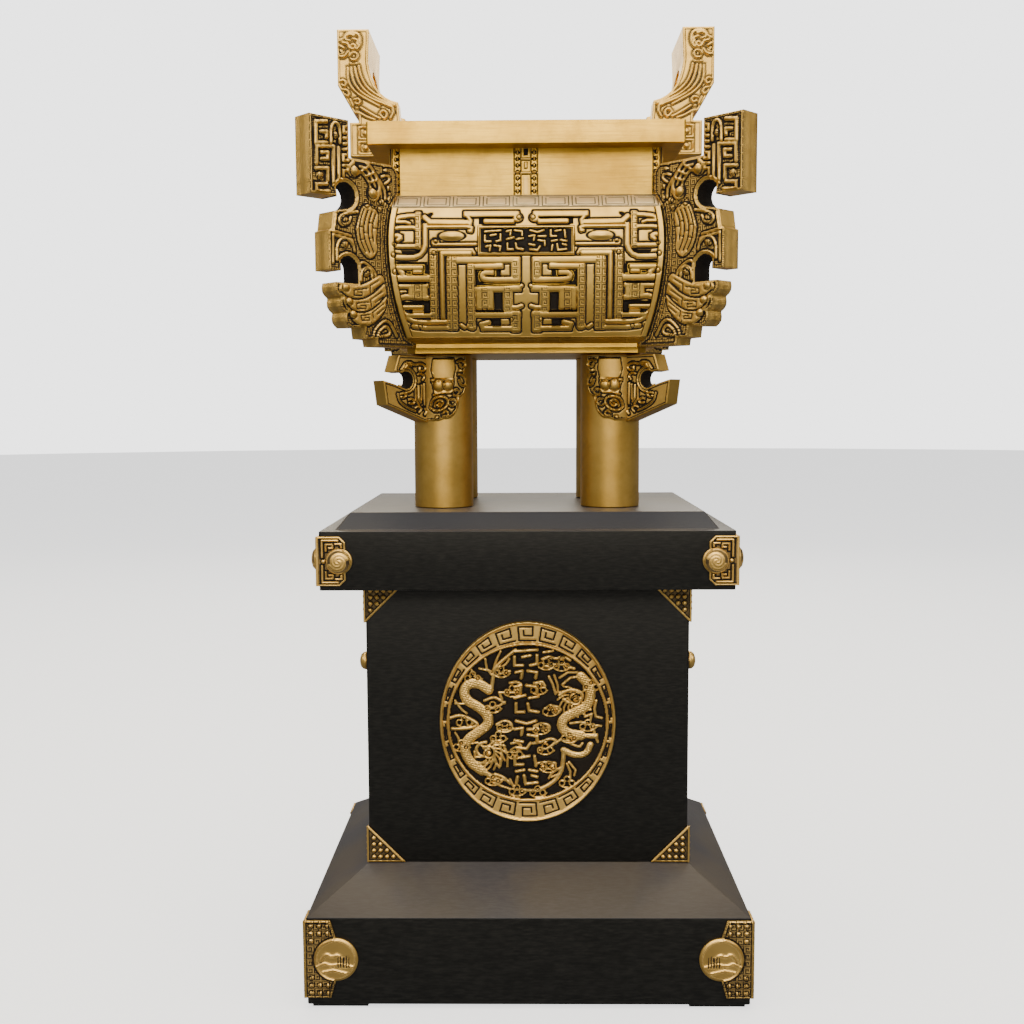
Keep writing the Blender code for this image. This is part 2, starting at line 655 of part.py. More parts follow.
def tank_ring(half_depth, rise, chamfer):
    """A chamfered rectangle whose straight sides carry the carving's grid lines."""
    z = TANK_FOOT_Z + rise
    half_width = half_depth + WIDTH_OVER_DEPTH
    sides = []
    for reach, inner in ((half_width - chamfer, INNER_REACH_X), (half_depth - chamfer, INNER_REACH_Y)):
        lines = [inner * k / INNER_COLUMNS for k in range(1, INNER_COLUMNS + 1)]
        outer = reach - CARVING_MARGIN - inner
        lines += [inner + outer * k / OUTER_COLUMNS for k in range(1, OUTER_COLUMNS + 1)]
        sides.append([-reach, *(-x for x in reversed(lines)), 0.0, *lines, reach])
    along_x, along_y = sides
    ring = [(x, -half_depth, z) for x in along_x]
    ring += [(half_width, y, z) for y in along_y]
    ring += [(x, half_depth, z) for x in reversed(along_x)]
    ring += [(-half_width, y, z) for y in reversed(along_y)]
    return ring


# Tank: rings from the foot up the outside, over the rim and down the inside to the floor
belly_rises = [
    BELLY_FOOT_RISE + (BELLY_TOP_RISE - BELLY_FOOT_RISE) * row / CARVING_ROWS
    for row in range(CARVING_ROWS + 1)
]
skirt_rise = FLOOR_PLATE_HEIGHT + SKIRT_HEIGHT
rim_half_depth = NECK_HALF_DEPTH + RIM_OVERHANG
rim_top_rise = NECK_TOP_RISE + RIM_THICKNESS
tank_rings = [
    tank_ring(FLOOR_HALF_DEPTH, 0.0, FLOOR_CHAMFER),
    tank_ring(FLOOR_HALF_DEPTH, FLOOR_PLATE_HEIGHT, FLOOR_CHAMFER),
    tank_ring(SKIRT_HALF_DEPTH, FLOOR_PLATE_HEIGHT, BELLY_CHAMFER),
    tank_ring(SKIRT_HALF_DEPTH, skirt_rise, BELLY_CHAMFER),
]
first_row_ring = len(tank_rings)
tank_rings += [tank_ring(belly_half_depth(rise), rise, BELLY_CHAMFER) for rise in belly_rises]
tank_rings += [
    tank_ring(NECK_HALF_DEPTH, NECK_FOOT_RISE, EDGE_CHAMFER),
    tank_ring(NECK_HALF_DEPTH, NECK_TOP_RISE, EDGE_CHAMFER),
    tank_ring(rim_half_depth, NECK_TOP_RISE, EDGE_CHAMFER),
    tank_ring(rim_half_depth, rim_top_rise, EDGE_CHAMFER),
    tank_ring(NECK_HALF_DEPTH - WALL, rim_top_rise, EDGE_CHAMFER),
    tank_ring(NECK_HALF_DEPTH - WALL, NECK_FOOT_RISE, EDGE_CHAMFER),
]
tank_rings += [
    tank_ring(belly_half_depth(rise) - WALL, rise, BELLY_CHAMFER)
    for rise in reversed(belly_rises[1::3])
]
tank_rings.append(tank_ring(SKIRT_HALF_DEPTH - WALL, FLOOR_THICKNESS, BELLY_CHAMFER))
tank = loft(tank_rings)
bmesh.ops.recalc_face_normals(tank, faces=tank.faces)
tank.faces.ensure_lookup_table()
ring_size = len(tank_rings[0])
side_size = ring_size // 4
outward = (Vector((0, -1, 0)), Vector((1, 0, 0)), Vector((0, 1, 0)), Vector((-1, 0, 0)))
middle = INNER_COLUMNS + OUTER_COLUMNS + 1
raised = []
for side, bars in enumerate((LONG_BARS, SIDE_BARS, LONG_BARS, SIDE_BARS)):
    cells = set()
    for first_column, last_column, first_row, last_row in bars:
        for column in range(first_column, last_column + 1):
            for row in range(first_row, last_row + 1):
                ring = first_row_ring + CARVING_ROWS - 1 - row
                start = ring * ring_size + side * side_size + middle
                cells.update((start + column, start - 1 - column))
    raised.append([tank.faces[index] for index in sorted(cells)])
for faces, direction in zip(raised, outward):
    made = bmesh.ops.extrude_face_region(tank, geom=faces)
    top = [item for item in made["geom"] if isinstance(item, bmesh.types.BMVert)]
    bmesh.ops.translate(tank, verts=top, vec=direction * CARVING_RISE)
    bmesh.ops.delete(tank, geom=faces, context="FACES")
bmesh.ops.dissolve_limit(
    tank, angle_limit=0.0005, use_dissolve_boundaries=False,
    verts=tank.verts, edges=tank.edges, delimit={"NORMAL"},
)
make_node("vessel_body", tank, *BRONZE)


# Corner ribs: one outline in the diagonal plane, its inner edge following the tank's corner
def corner_reach(half_depth, chamfer):
    """Distance along the diagonal from the neck corner to the middle of a chamfered corner."""
    return DIAGONAL * (half_depth - NECK_HALF_DEPTH - chamfer / 2) + GAP


block_top = BLOCK_TOP_ABOVE_NECK_FOOT
block_foot = block_top - BLOCK_HEIGHT
rib = [
    (BLOCK_INNER, block_top),
    (BLOCK_OUTER, block_top),
    (BLOCK_OUTER, block_foot),
    (BLOCK_INNER + BLOCK_NOTCH, block_foot),
    *arc(POCKET_CENTRE, POCKET_RADIUS, 35, 260, 9),
    NOSE_TOP,
    NOSE_STEP,
    NOSE_TIP,
    (NOSE_TIP[0], NOSE_TIP[1] - NOSE_HEIGHT),
    (LOWER_POCKET_CENTRE[0] + LOWER_POCKET_MOUTH, NOSE_TIP[1] - NOSE_HEIGHT),
    *arc(LOWER_POCKET_CENTRE, LOWER_POCKET_RADIUS, 40, 180, 6),
    (LOWER_POCKET_CENTRE[0] - LOWER_POCKET_RADIUS, LOWER_POCKET_FLOOR),
]
for scale in range(SCALE_COUNT):
    for step in range(5):
        along = (scale + step / 4) / SCALE_COUNT
        bulge = SCALE_BULGE * math.sin(math.pi * step / 4)
        if step == 0 and scale > 0:
            continue
        rib.append((
            SCALE_START[0] + (SCALE_END[0] - SCALE_START[0]) * along + bulge,
            SCALE_START[1] + (SCALE_END[1] - SCALE_START[1]) * along - bulge * 0.4,
        ))
rib += FOOT_STEPS[:-1]
rib_foot = FLOOR_PLATE_HEIGHT + GAP - NECK_FOOT_RISE
rib.append((FOOT_STEPS[-1][0], rib_foot))
rib.append((corner_reach(SKIRT_HALF_DEPTH, BELLY_CHAMFER), rib_foot))
rib.append((corner_reach(SKIRT_HALF_DEPTH, BELLY_CHAMFER), skirt_rise - NECK_FOOT_RISE))
for rise in belly_rises:
    rib.append((corner_reach(belly_half_depth(rise), BELLY_CHAMFER), rise - NECK_FOOT_RISE))
neck_side = corner_reach(NECK_HALF_DEPTH, EDGE_CHAMFER) + NECK_CLEARANCE
rib += [
    (neck_side, 0.0),
    (neck_side, WEB_HEIGHT - WEB_ROUND),
    (neck_side + WEB_ROUND, WEB_HEIGHT),
    (BLOCK_INNER, WEB_HEIGHT),
]
rib = [(u, z + NECK_FOOT_Z) for u, z in rib]
for corner, sx, sy in CORNERS:
    place = frame_matrix((sx * NECK_HALF_WIDTH, sy * NECK_HALF_DEPTH, 0.0), (sx, sy, 0), (0, 0, 1))
    slab = prism(rib, -FLANGE_THICKNESS / 2, FLANGE_THICKNESS / 2, place)
    extras = bmesh.new()
    for turn in (-1, 1):
        depth = turn * FLANGE_THICKNESS / 2
        for u, z in FACE_BOSSES:
            boss = arc((u, z + NECK_FOOT_Z), FACE_BOSS_RADIUS, 0, 300, 5)
            piece = prism(boss, depth - turn * FACE_SINK, depth + turn * FACE_BOSS_RISE, place)
            data = bpy.data.meshes.new("boss")
            piece.to_mesh(data)
            piece.free()
            extras.from_mesh(data)
            bpy.data.meshes.remove(data)
    make_node(f"flange_{corner}", combine(slab, [extras]), *BRONZE)

# Ears: an S-shaped section across the short side, pierced by an arch, lapped over the rim's end
bend_start, bend_control, bend_end = ((RIM_HALF_WIDTH + out, up) for out, up in EAR_BEND)
ear_section = [(RIM_HALF_WIDTH - EAR_FOOT_IN, GAP)]
for step in range(8):
    t = step / 7
    ear_section.append(tuple(
        (1 - t) ** 2 * a + 2 * t * (1 - t) * b + t * t * c
        for a, b, c in zip(bend_start, bend_control, bend_end)
    ))
ear_section += [
    (RIM_HALF_WIDTH + EAR_TOP_INNER, EAR_HEIGHT),
    (RIM_HALF_WIDTH + EAR_TOP_OUTER, EAR_HEIGHT),
    (RIM_HALF_WIDTH + EAR_TOP_OUTER, EAR_BACK_FOOT),
    (RIM_HALF_WIDTH + EAR_HEEL[0], EAR_HEEL[1]),
    (RIM_HALF_WIDTH + EAR_NOTCH[0], EAR_HEEL[1]),
    (RIM_HALF_WIDTH + EAR_NOTCH[0], EAR_NOTCH[1]),
    (RIM_HALF_WIDTH + EAR_LAP_OUT, EAR_NOTCH[1]),
    (RIM_HALF_WIDTH + EAR_LAP_OUT, -EAR_LAP_DROP),
    (RIM_HALF_WIDTH + GAP, -EAR_LAP_DROP),
    (RIM_HALF_WIDTH + GAP, GAP),
]
arch = [
    (EAR_ARCH_WIDTH / 2, EAR_ARCH_SILL),
    *arc((0.0, EAR_ARCH_SPRING), EAR_ARCH_WIDTH / 2, 0, 180, 10),
    (-EAR_ARCH_WIDTH / 2, EAR_ARCH_SILL),
]
for side, sx in (("left", -1), ("right", 1)):
    place = frame_matrix((0.0, 0.0, RIM_TOP_Z), (sx, 0, 0), (0, 0, 1))
    ear = prism(ear_section, -EAR_DEPTH / 2, EAR_DEPTH / 2, place)
    across = frame_matrix((0.0, 0.0, RIM_TOP_Z), (0, sx, 0), (0, 0, 1))
    cut_from, cut_to = RIM_HALF_WIDTH - EAR_CUT_REACH, RIM_HALF_WIDTH + EAR_CUT_REACH
    hole = prism(arch, cut_from, cut_to, across)
    make_node(f"ear_{side}", combine(ear, [hole], "DIFFERENCE"), *BRONZE)
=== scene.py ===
"""Bronze four-legged vessel with hooked corner ribs, on a black lacquered pedestal with
bronze fittings. Metres, +Z up, the front faces -Y; carving is laid out in millimetres."""
import math

import bmesh
import bpy
import numpy as np
from mathutils import Matrix, Vector


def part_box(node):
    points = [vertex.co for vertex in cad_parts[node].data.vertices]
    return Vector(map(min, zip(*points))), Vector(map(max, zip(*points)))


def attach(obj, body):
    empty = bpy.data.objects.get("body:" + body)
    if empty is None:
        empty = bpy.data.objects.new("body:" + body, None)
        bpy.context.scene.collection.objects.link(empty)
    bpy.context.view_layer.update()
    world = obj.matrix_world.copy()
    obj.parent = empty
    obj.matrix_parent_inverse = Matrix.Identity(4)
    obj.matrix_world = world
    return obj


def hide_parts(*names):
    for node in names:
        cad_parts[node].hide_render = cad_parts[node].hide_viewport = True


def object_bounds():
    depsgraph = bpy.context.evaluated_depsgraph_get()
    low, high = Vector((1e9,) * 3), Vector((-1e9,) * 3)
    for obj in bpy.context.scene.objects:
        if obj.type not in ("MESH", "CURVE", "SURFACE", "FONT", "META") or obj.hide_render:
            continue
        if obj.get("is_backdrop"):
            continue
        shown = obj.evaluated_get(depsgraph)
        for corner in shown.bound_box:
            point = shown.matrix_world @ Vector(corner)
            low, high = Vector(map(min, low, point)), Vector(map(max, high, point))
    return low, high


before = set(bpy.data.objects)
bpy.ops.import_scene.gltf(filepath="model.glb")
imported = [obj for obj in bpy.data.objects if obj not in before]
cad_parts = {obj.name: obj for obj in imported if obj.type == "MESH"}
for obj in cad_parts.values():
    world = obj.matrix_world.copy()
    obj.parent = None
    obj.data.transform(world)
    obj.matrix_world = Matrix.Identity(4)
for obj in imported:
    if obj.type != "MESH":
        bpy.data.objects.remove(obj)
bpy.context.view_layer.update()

# Pedestal: three boxes of close-grained board glued one on another, the edges eased by
# hand, then sprayed with black lacquer that lets the grain show faintly on the slopes.
WOOD_EDGE = 0.0007
MM = 1000.0


class Tone:
    """A number or colour inside a material; arithmetic on it adds the nodes."""

    def __init__(self, finish, socket):
        self.finish = finish
        self.socket = socket

    def join(self, operation, *values):
        return self.finish.add("ShaderNodeMath", {"operation": operation}, dict(enumerate(values)))

    def __add__(self, other):
        return self.join("ADD", self, other)

    def __radd__(self, other):
        return self.join("ADD", other, self)

    def __sub__(self, other):
        return self.join("SUBTRACT", self, other)

    def __rsub__(self, other):
        return self.join("SUBTRACT", other, self)

    def __mul__(self, other):
        return self.join("MULTIPLY", self, other)

    def held(self):
        """The same value kept between 0 and 1."""
        return self.finish.add("ShaderNodeClamp", {}, {"Value": self})

    def over(self, limit):
        return self.join("GREATER_THAN", self, limit)

    def size(self):
        """The value without its sign."""
        return self.join("ABSOLUTE", self)

    def rest(self):
        """What is left over past a whole number."""
        return self.join("FRACT", self)

    def step(self, low, high):
        """Rises smoothly from 0 to 1 between two values."""
        return self.finish.add(
            "ShaderNodeMapRange", {"interpolation_type": "SMOOTHSTEP"},
            {"Value": self, "From Min": low, "From Max": high},
        )


class Finish:
    """One material: its nodes, and the shader they feed."""

    def __init__(self, name):
        self.material = bpy.data.materials.new(name)
        self.material.use_nodes = True
        self.tree = self.material.node_tree
        self.shader = self.tree.nodes["Principled BSDF"]

    def add(self, kind, settings, inputs, output=0):
        node = self.tree.nodes.new(kind)
        for key, value in settings.items():
            setattr(node, key, value)
        for key, value in inputs.items():
            self.feed(node.inputs[key], value)
        return Tone(self, node.outputs[output])

    def feed(self, socket, value):
        if isinstance(value, Tone):
            self.tree.links.new(value.socket, socket)
        elif isinstance(value, tuple) and socket.type == "RGBA":
            socket.default_value = (*value, 1.0)
        else:
            socket.default_value = value

    def mix(self, share, first, second):
        """A colour part of the way from the first to the second."""
        return self.add("ShaderNodeMix", {"data_type": "RGBA"}, {0: share, 6: first, 7: second}, 2)

    def noise(self, scale, detail, roughness=0.5, squeeze=None):
        """Cloudy variation through the metal or wood, in the object's own metres."""
        place = self.add("ShaderNodeTexCoord", {}, {}, "Object")
        if squeeze:
            place = self.add("ShaderNodeMapping", {}, {"Vector": place, "Scale": squeeze})
        return self.add(
            "ShaderNodeTexNoise", {},
            {"Vector": place, "Scale": scale, "Detail": detail, "Roughness": roughness},
        )

    def set(self, **values):
        names = {
            "color": "Base Color", "roughness": "Roughness", "metallic": "Metallic", "ior": "IOR",
            "glow": "Emission Color", "power": "Emission Strength",
        }
        for key, value in values.items():
            self.feed(self.shader.inputs[names[key]], value)

    def bump(self, height, strength, distance):
        normal = self.add(
            "ShaderNodeBump", {}, {"Height": height, "Strength": strength, "Distance": distance}
        )
        self.feed(self.shader.inputs["Normal"], normal)


def lacquer(name, along):
    """Black lacquer with fine grain along one axis; painted bluish reflection on slopes, painted grey
    overhead reflection facing up.
    """
    finish = Finish(name)
    stretch = tuple(0.16 if axis == along else 1.0 for axis in "xyz")
    grain = finish.noise(700.0, 6.0, 0.65, stretch)
    pores = finish.noise(1500.0, 2.0, 0.5, stretch)
    cloud = finish.noise(9.0, 3.0)
    dust = finish.noise(60.0, 5.0, 0.7)
    facing = finish.add("ShaderNodeSeparateXYZ", {}, {
        "Vector": finish.add("ShaderNodeNewGeometry", {}, {}, "Normal"),
    }, "Z")
    # Faces that point up get a painted grey reflection of the overhead light, with the grain in it.
    level = facing.step(0.66, 0.92)
    # Sloping faces, such as the cap's bevel, get a painted bluish reflection.
    slope = facing.step(0.45, 0.60) * (1 - level)
    black = finish.mix(grain.step(0.35, 0.75), (0.0040, 0.0040, 0.0036), (0.0105, 0.0100, 0.0088))
    black_with_bluish_reflection = finish.mix(slope, black, (0.005, 0.007, 0.015))
    painted_reflection_grey = finish.mix(cloud.step(0.40, 0.60), (0.046, 0.042, 0.046), (0.060, 0.050, 0.041))
    painted_overhead_reflection = finish.mix(grain.step(0.30, 0.80) * 0.4, painted_reflection_grey, (0.085, 0.078, 0.072))
    color = finish.mix(level * (0.75 + cloud * 0.3), black_with_bluish_reflection, painted_overhead_reflection)
    finish.set(
        color=color,
        roughness=0.27 + cloud * 0.08 + grain * 0.10 + dust * 0.05,
        metallic=0.0,
        ior=1.25,
    )
    finish.bump(grain * 0.7 + pores * 0.3, 0.16, 0.0004)
    return finish.material


def eased_copy(node, edge, angle=math.radians(25), segments=3):
    """The frame's own solid with its sharp edges rounded over."""
    bm = bmesh.new()
    bm.from_mesh(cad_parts[node].data)
    bmesh.ops.remove_doubles(bm, verts=bm.verts, dist=0.00001)
    bmesh.ops.dissolve_limit(
        bm, angle_limit=0.002, use_dissolve_boundaries=False, verts=bm.verts, edges=bm.edges,
    )
    sharp = [e for e in bm.edges if len(e.link_faces) == 2 and e.calc_face_angle() > angle]
    bmesh.ops.bevel(
        bm, geom=sharp, offset=edge, offset_type="OFFSET", segments=segments, profile=0.5,
        affect="EDGES", clamp_overlap=True, material=-1,
    )
    return bm


def show(name, bm, material, replaced, sharp=35.0):
    """Makes a finished piece of the mesh and lets it ride on the body."""
    bmesh.ops.recalc_face_normals(bm, faces=bm.faces)
    mesh = bpy.data.meshes.new(name)
    bm.to_mesh(mesh)
    bm.free()
    mesh.shade_smooth()
    mesh.set_sharp_from_angle(angle=math.radians(sharp))
    mesh.materials.append(material)
    piece = bpy.data.objects.new(name, mesh)
    bpy.context.scene.collection.objects.link(piece)
    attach(piece, "root")
    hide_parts(*replaced)


wood = lacquer("black_lacquer", "x")
for block in ("plinth_base", "plinth_shaft", "plinth_cap"):
    show(block + "_wood", eased_copy(block, WOOD_EDGE), wood, [block])

# Bronze: the castings are brushed, darkened with liver of sulphur, then rubbed back so the
# raised metal is gold and the hollows stay black-brown. One recipe serves every casting.
FRET_PITCH = 6.6
FRET_COILS = 3.0
# Carving, in millimetres: the bevel of raised metal and the ditch worn round it
BEVEL = 0.9
DITCH = 0.55
DITCH_MIDDLE, DITCH_HALF = 0.85, 0.95
# How far a tool looks round its line, and what counts as no metal near
SEARCH = 6.0
FAR = 99.0
HOLE_MARGIN = 0.6
# A line counts as level or upright, and as slanting, by these shares of its length
STRAIGHT = 0.08
SLANT = 0.3


def bronze(name, light, deep, grime=(0.0075, 0.0045, 0.0022), brushed=None, worn=0.33):
    """Metal between two golds, dark where the casting says so, with a square coil cut into
    every cell of the fretted ground; a brushed sheet has fine hair lines along one axis."""
    finish = Finish(name)
    cloud = finish.noise(16.0, 5.0, 0.6)
    mottle = finish.noise(75.0, 4.0, 0.6)
    grit = finish.noise(900.0, 3.0, 0.6)
    dark = finish.add("ShaderNodeAttribute", {"attribute_name": "dark"}, {}, "Fac")
    sheet = finish.add("ShaderNodeAttribute", {"attribute_name": "sheet"}, {}, "Vector")
    across, along, fretted = (
        finish.add("ShaderNodeSeparateXYZ", {}, {"Vector": sheet}, axis) for axis in "XYZ"
    )
    x, y = ((way * (1 / FRET_PITCH)).rest() - 0.5 for way in (across, along))
    flat = x.size().over(y.size())
    ring = x.join("MAXIMUM", x.size(), y.size())
    quarter = flat * (x.over(0.0) * 0.5) + (1 - flat) * (0.25 + y.over(0.0) * 0.5)
    cut = (1 - (ring * FRET_COILS + quarter).rest().step(0.34, 0.50)) * fretted
    soil = (dark + cut * 0.55 + (mottle - 0.5) * 0.22).step(0.12, 0.62)
    rub = (dark * 3.0).held()
    metal = finish.mix(cloud.step(0.35, 0.70), light, deep)
    metal = finish.mix(mottle.step(0.45, 0.8) * 0.35, metal, tuple(c * 0.62 for c in deep))
    relief = grit * 0.35 - cut * 3.0 + mottle * 0.25
    if brushed:
        stretch = tuple(0.04 if axis == brushed else 1.0 for axis in "xyz")
        hair = finish.noise(650.0, 4.0, 0.7, stretch)
        metal = finish.mix(hair.step(0.42, 0.75) * 0.5, metal, tuple(c * 0.7 for c in deep))
        relief = relief + hair * (1 - rub) * 1.2
    finish.set(
        color=finish.mix(soil, metal, grime),
        roughness=worn + cloud * 0.10 + mottle * 0.08 + soil * 0.26,
        metallic=(1.0 - soil * 0.8).held(),
        ior=1.3,
    )
    finish.bump(relief, 0.5, 0.00022)
    return finish.material


def ease(share):
    share = np.clip(share, 0.0, 1.0)
    return share * share * (3.0 - 2.0 * share)


def softened(points):
    """Rounds the turns of a slanting line; the square turns of a meander stay sharp."""
    slants = [
        min(abs(b[0] - a[0]), abs(b[1] - a[1])) > SLANT * max(abs(b[0] - a[0]), abs(b[1] - a[1]))
        for a, b in zip(points, points[1:])
    ]
    if len(points) < 3 or sum(slants) < 2:
        return points
    for _ in range(2):
        cut = [points[0]]
        for (a, b), (c, d) in zip(points, points[1:]):
            cut += [(p * a + q * c, p * b + q * d) for p, q in ((0.75, 0.25), (0.25, 0.75))]
        points = [*cut, points[-1]]
    return points


class Carving:
    """A sheet of worked metal: a fine grid in millimetres and the height over each point.

    Bars and pads stand proud with a dark ditch round them, pits and grooves go down."""

    def __init__(self, low, high, step, rim=0.0, soot=1.0, crown=0.3, fret=0.0):
        self.step = step
        self.rim = rim
        self.soot = soot
        self.crown = crown
        self.fret = fret
        self.bm = bmesh.new()
        self.dark_layer = self.bm.verts.layers.float.new("dark")
        self.sheet_layer = self.bm.verts.layers.float_vector.new("sheet")
        span = (high[0] - low[0], high[1] - low[1])
        bmesh.ops.create_grid(
            self.bm, x_segments=max(2, round(span[0] / step)),
            y_segments=max(2, round(span[1] / step)), size=0.5,
        )
        spots = np.array([vert.co[:2] for vert in self.bm.verts]) + 0.5
        self.a = low[0] + spots[:, 0] * span[0]
        self.b = low[1] + spots[:, 1] * span[1]
        count = len(self.a)
        self.near = np.full(count, FAR)
        self.rise = np.zeros(count)
        self.ground = np.zeros(count)
        self.extra = np.zeros(count)
        self.dark = np.zeros(count)
        self.cut = np.zeros(count)
        self.fretted = np.zeros(count)
        self.outline = None

    def away(self, points):
        """Distance from every grid point to a line of points; square round square turns."""
        spots = np.array(points, float)
        low, high = spots.min(0) - SEARCH, spots.max(0) + SEARCH
        here = np.flatnonzero(
            (self.a > low[0]) & (self.a < high[0]) & (self.b > low[1]) & (self.b < high[1])
        )
        a, b = self.a[here], self.b[here]
        least = np.full(len(here), FAR)
        for (start_a, start_b), (end_a, end_b) in zip(points, points[1:]):
            run_a, run_b = end_a - start_a, end_b - start_b
            length = math.hypot(run_a, run_b) or 1e-6
            along = ((a - start_a) * run_a + (b - start_b) * run_b) / length
            side = np.abs((a - start_a) * run_b - (b - start_b) * run_a) / length
            past = np.maximum(np.maximum(-along, along - length), 0.0)
            power = 5.0 if min(abs(run_a), abs(run_b)) < STRAIGHT * length else 2.0
            least = np.minimum(least, (side ** power + past ** power) ** (1.0 / power))
        everywhere = np.full(len(self.a), FAR)
        everywhere[here] = least
        return everywhere

    def within(self, outline):
        """Signed distance to a closed outline, positive inside."""
        inside = np.zeros(len(self.a), bool)
        least = np.full(len(self.a), FAR)
        foot_a, foot_b = self.a.copy(), self.b.copy()
        for (start_a, start_b), (end_a, end_b) in zip(outline, (*outline[1:], outline[0])):
            run_a, run_b = end_a - start_a, end_b - start_b
            square = run_a ** 2 + run_b ** 2 + 1e-12
            share = ((self.a - start_a) * run_a + (self.b - start_b) * run_b) / square
            share = np.clip(share, 0.0, 1.0)
            at_a, at_b = start_a + share * run_a, start_b + share * run_b
            gap = np.hypot(self.a - at_a, self.b - at_b)
            closer = gap < least
            least = np.where(closer, gap, least)
            foot_a, foot_b = np.where(closer, at_a, foot_a), np.where(closer, at_b, foot_b)
            if start_b != end_b:
                crosses = (start_b > self.b) != (end_b > self.b)
                inside ^= crosses & (self.a < start_a + (self.b - start_b) * run_a / run_b)
        return np.where(inside, least, -least), foot_a, foot_b

    def raise_metal(self, near, rise):
        closer = near < self.near
        self.rise = np.where(closer, rise, self.rise)
        self.near = np.minimum(near, self.near)

    def bar(self, width, rise, points):
        """A raised strip, a little higher along its middle."""
        off = self.away(points)
        dome = np.sqrt(np.clip(1.0 - (2.0 * off / width) ** 2, 0.0, 1.0))
        self.raise_metal(off - width / 2, rise * (1.0 - self.crown + self.crown * dome))

    def pad(self, width, rise, points):
        self.raise_metal(-self.within(points)[0], rise)

    def pit(self, width, depth, points):
        share = ease(self.within(points)[0] / 0.7 + 0.4)
        self.ground = np.minimum(self.ground, -depth * share)
        self.dark = np.maximum(self.dark, share)

    def groove(self, width, depth, points):
        share = ease((width / 2 - self.away(points)) / 0.7 + 0.5)
        self.extra -= depth * share
        self.cut = np.maximum(self.cut, share * 0.9)

    def line(self, width, rise, points):
        """A fine raised thread laid over whatever is there."""
        share = ease(1.2 - self.away(points) / (width * 0.75))
        self.extra += rise * share
        self.dark = self.dark * (1 - share)
        self.cut = self.cut * (1 - share)

    def boss(self, radius, rise, points):
        gap = np.hypot(self.a - points[0][0], self.b - points[0][1])
        dome = np.sqrt(np.clip(1.0 - (gap / radius) ** 2, 0.0, 1.0))
        ditch = ease(1.0 - np.abs(gap - radius - 0.3) / 0.9)
        self.extra += rise * dome - 0.5 * ditch
        self.dark = np.where(gap < radius * 0.9, 0.0, self.dark)
        self.cut = np.where(gap < radius * 0.9, 0.0, np.maximum(self.cut, ditch * 0.8))

    def work(self, marks, turn=1.0, across=1.0):
        """Cuts rows of (tool, width, height, strokes); turn -1 mirrors them. A stroke gives
        its points as one run of numbers, a and b by turns."""
        for tool, width, height, *strokes in marks:
            for run in strokes:
                spots = [(turn * across * a, b) for a, b in zip(run[::2], run[1::2])]
                getattr(self, tool)(width, height, softened(spots))

    def trim(self, outline):
        """Cuts the sheet to a closed outline; points beside the cut move onto it."""
        edge, foot_a, foot_b = self.within(outline)
        keep = 0.3 * self.step
        self.bm.verts.ensure_lookup_table()
        doomed, used = [], np.zeros(len(self.a), bool)
        for face in self.bm.faces:
            corners = [vert.index for vert in face.verts]
            if max(edge[k] for k in corners) > keep:
                used[corners] = True
            else:
                doomed.append(face)
        snap = used & (edge < keep)
        self.a[snap], self.b[snap] = foot_a[snap], foot_b[snap]
        self.to_edge = np.where(snap, 0.0, edge)
        self.doomed = doomed
        self.outline = outline

    def heights(self):
        """Height of the finished surface over every point."""
        raised = ease(0.5 - self.near / BEVEL)
        moat = ease(1.25 - np.abs(self.near - DITCH_MIDDLE) / DITCH_HALF)
        height = self.ground * (1 - raised) + self.rise * raised - DITCH * moat * (1 - raised) + self.extra
        self.dark = np.maximum(self.dark * (1 - raised * 0.9), moat * (1 - raised) * self.soot)
        self.dark = np.maximum(self.dark, self.cut * self.soot)
        self.fretted = np.maximum(self.fretted, self.fret * (1 - raised) * (1 - moat))
        if self.rim:
            border = ease(1.0 - (self.to_edge - self.rim) / 0.8)
            height = height * (1 - border) + 0.35 * border
            self.dark = self.dark * (1 - border)
            shade = ease(1.0 - np.abs(self.to_edge - self.rim - 0.7) / 0.9) * (1 - raised)
            self.dark = np.maximum(self.dark, shade * self.soot)
            height = height - ease(1.0 - self.to_edge / 0.9) * 0.55
        return height

    def finish(self, base, thickness, place, double=False, holes=()):
        """Closes the sheet into a plate and puts it in its place.

        The carving stands from base (mm); the plate's back is at minus thickness; the edge
        inside each hole, given by centre and radius, is painted black as painted shadow."""
        def in_hole(vert):
            return any(math.dist(vert.co[:2], at) < radius + HOLE_MARGIN for at, radius in holes)

        height = base + self.heights()
        for vert, a, b, h, dark, fretted in zip(
            self.bm.verts, self.a, self.b, height, self.dark, self.fretted
        ):
            vert.co = (a, b, h)
            vert[self.dark_layer] = dark
            vert[self.sheet_layer] = (a, b, fretted)
        if self.outline:
            bmesh.ops.delete(self.bm, geom=self.doomed, context="FACES")
            bmesh.ops.remove_doubles(self.bm, verts=self.bm.verts, dist=0.01)
        rim = [edge for edge in self.bm.edges if edge.is_boundary]
        # Painted shadow: the sheet's edge round each hole is darkened.
        for vert in {vert for edge in rim for vert in edge.verts}:
            if in_hole(vert):
                vert[self.dark_layer] = 0.8
        made = bmesh.ops.extrude_edge_only(self.bm, edges=rim)
        new_edges = [item for item in made["geom"] if isinstance(item, bmesh.types.BMEdge)]
        for item in made["geom"]:
            if isinstance(item, bmesh.types.BMVert):
                item.co.z = -thickness
                item[self.sheet_layer] = (0.0, 0.0, 0.0)
                # Painted shadow on the wall inside each hole.
                item[self.dark_layer] = 1.0 if in_hole(item) else 0.0
        if double:
            bmesh.ops.mirror(
                self.bm, geom=self.bm.verts[:] + self.bm.edges[:] + self.bm.faces[:],
                matrix=Matrix.Translation((0, 0, -thickness)), merge_dist=0.02, axis="Z",
            )
        else:
            bottom = [edge for edge in new_edges if edge.is_boundary]
            bmesh.ops.holes_fill(self.bm, edges=bottom, sides=0)
        points = np.array([vert.co[:] for vert in self.bm.verts])
        for vert, spot in zip(self.bm.verts, place(points)):
            vert.co = spot
        bmesh.ops.recalc_face_normals(self.bm, faces=self.bm.faces)
        return self.bm


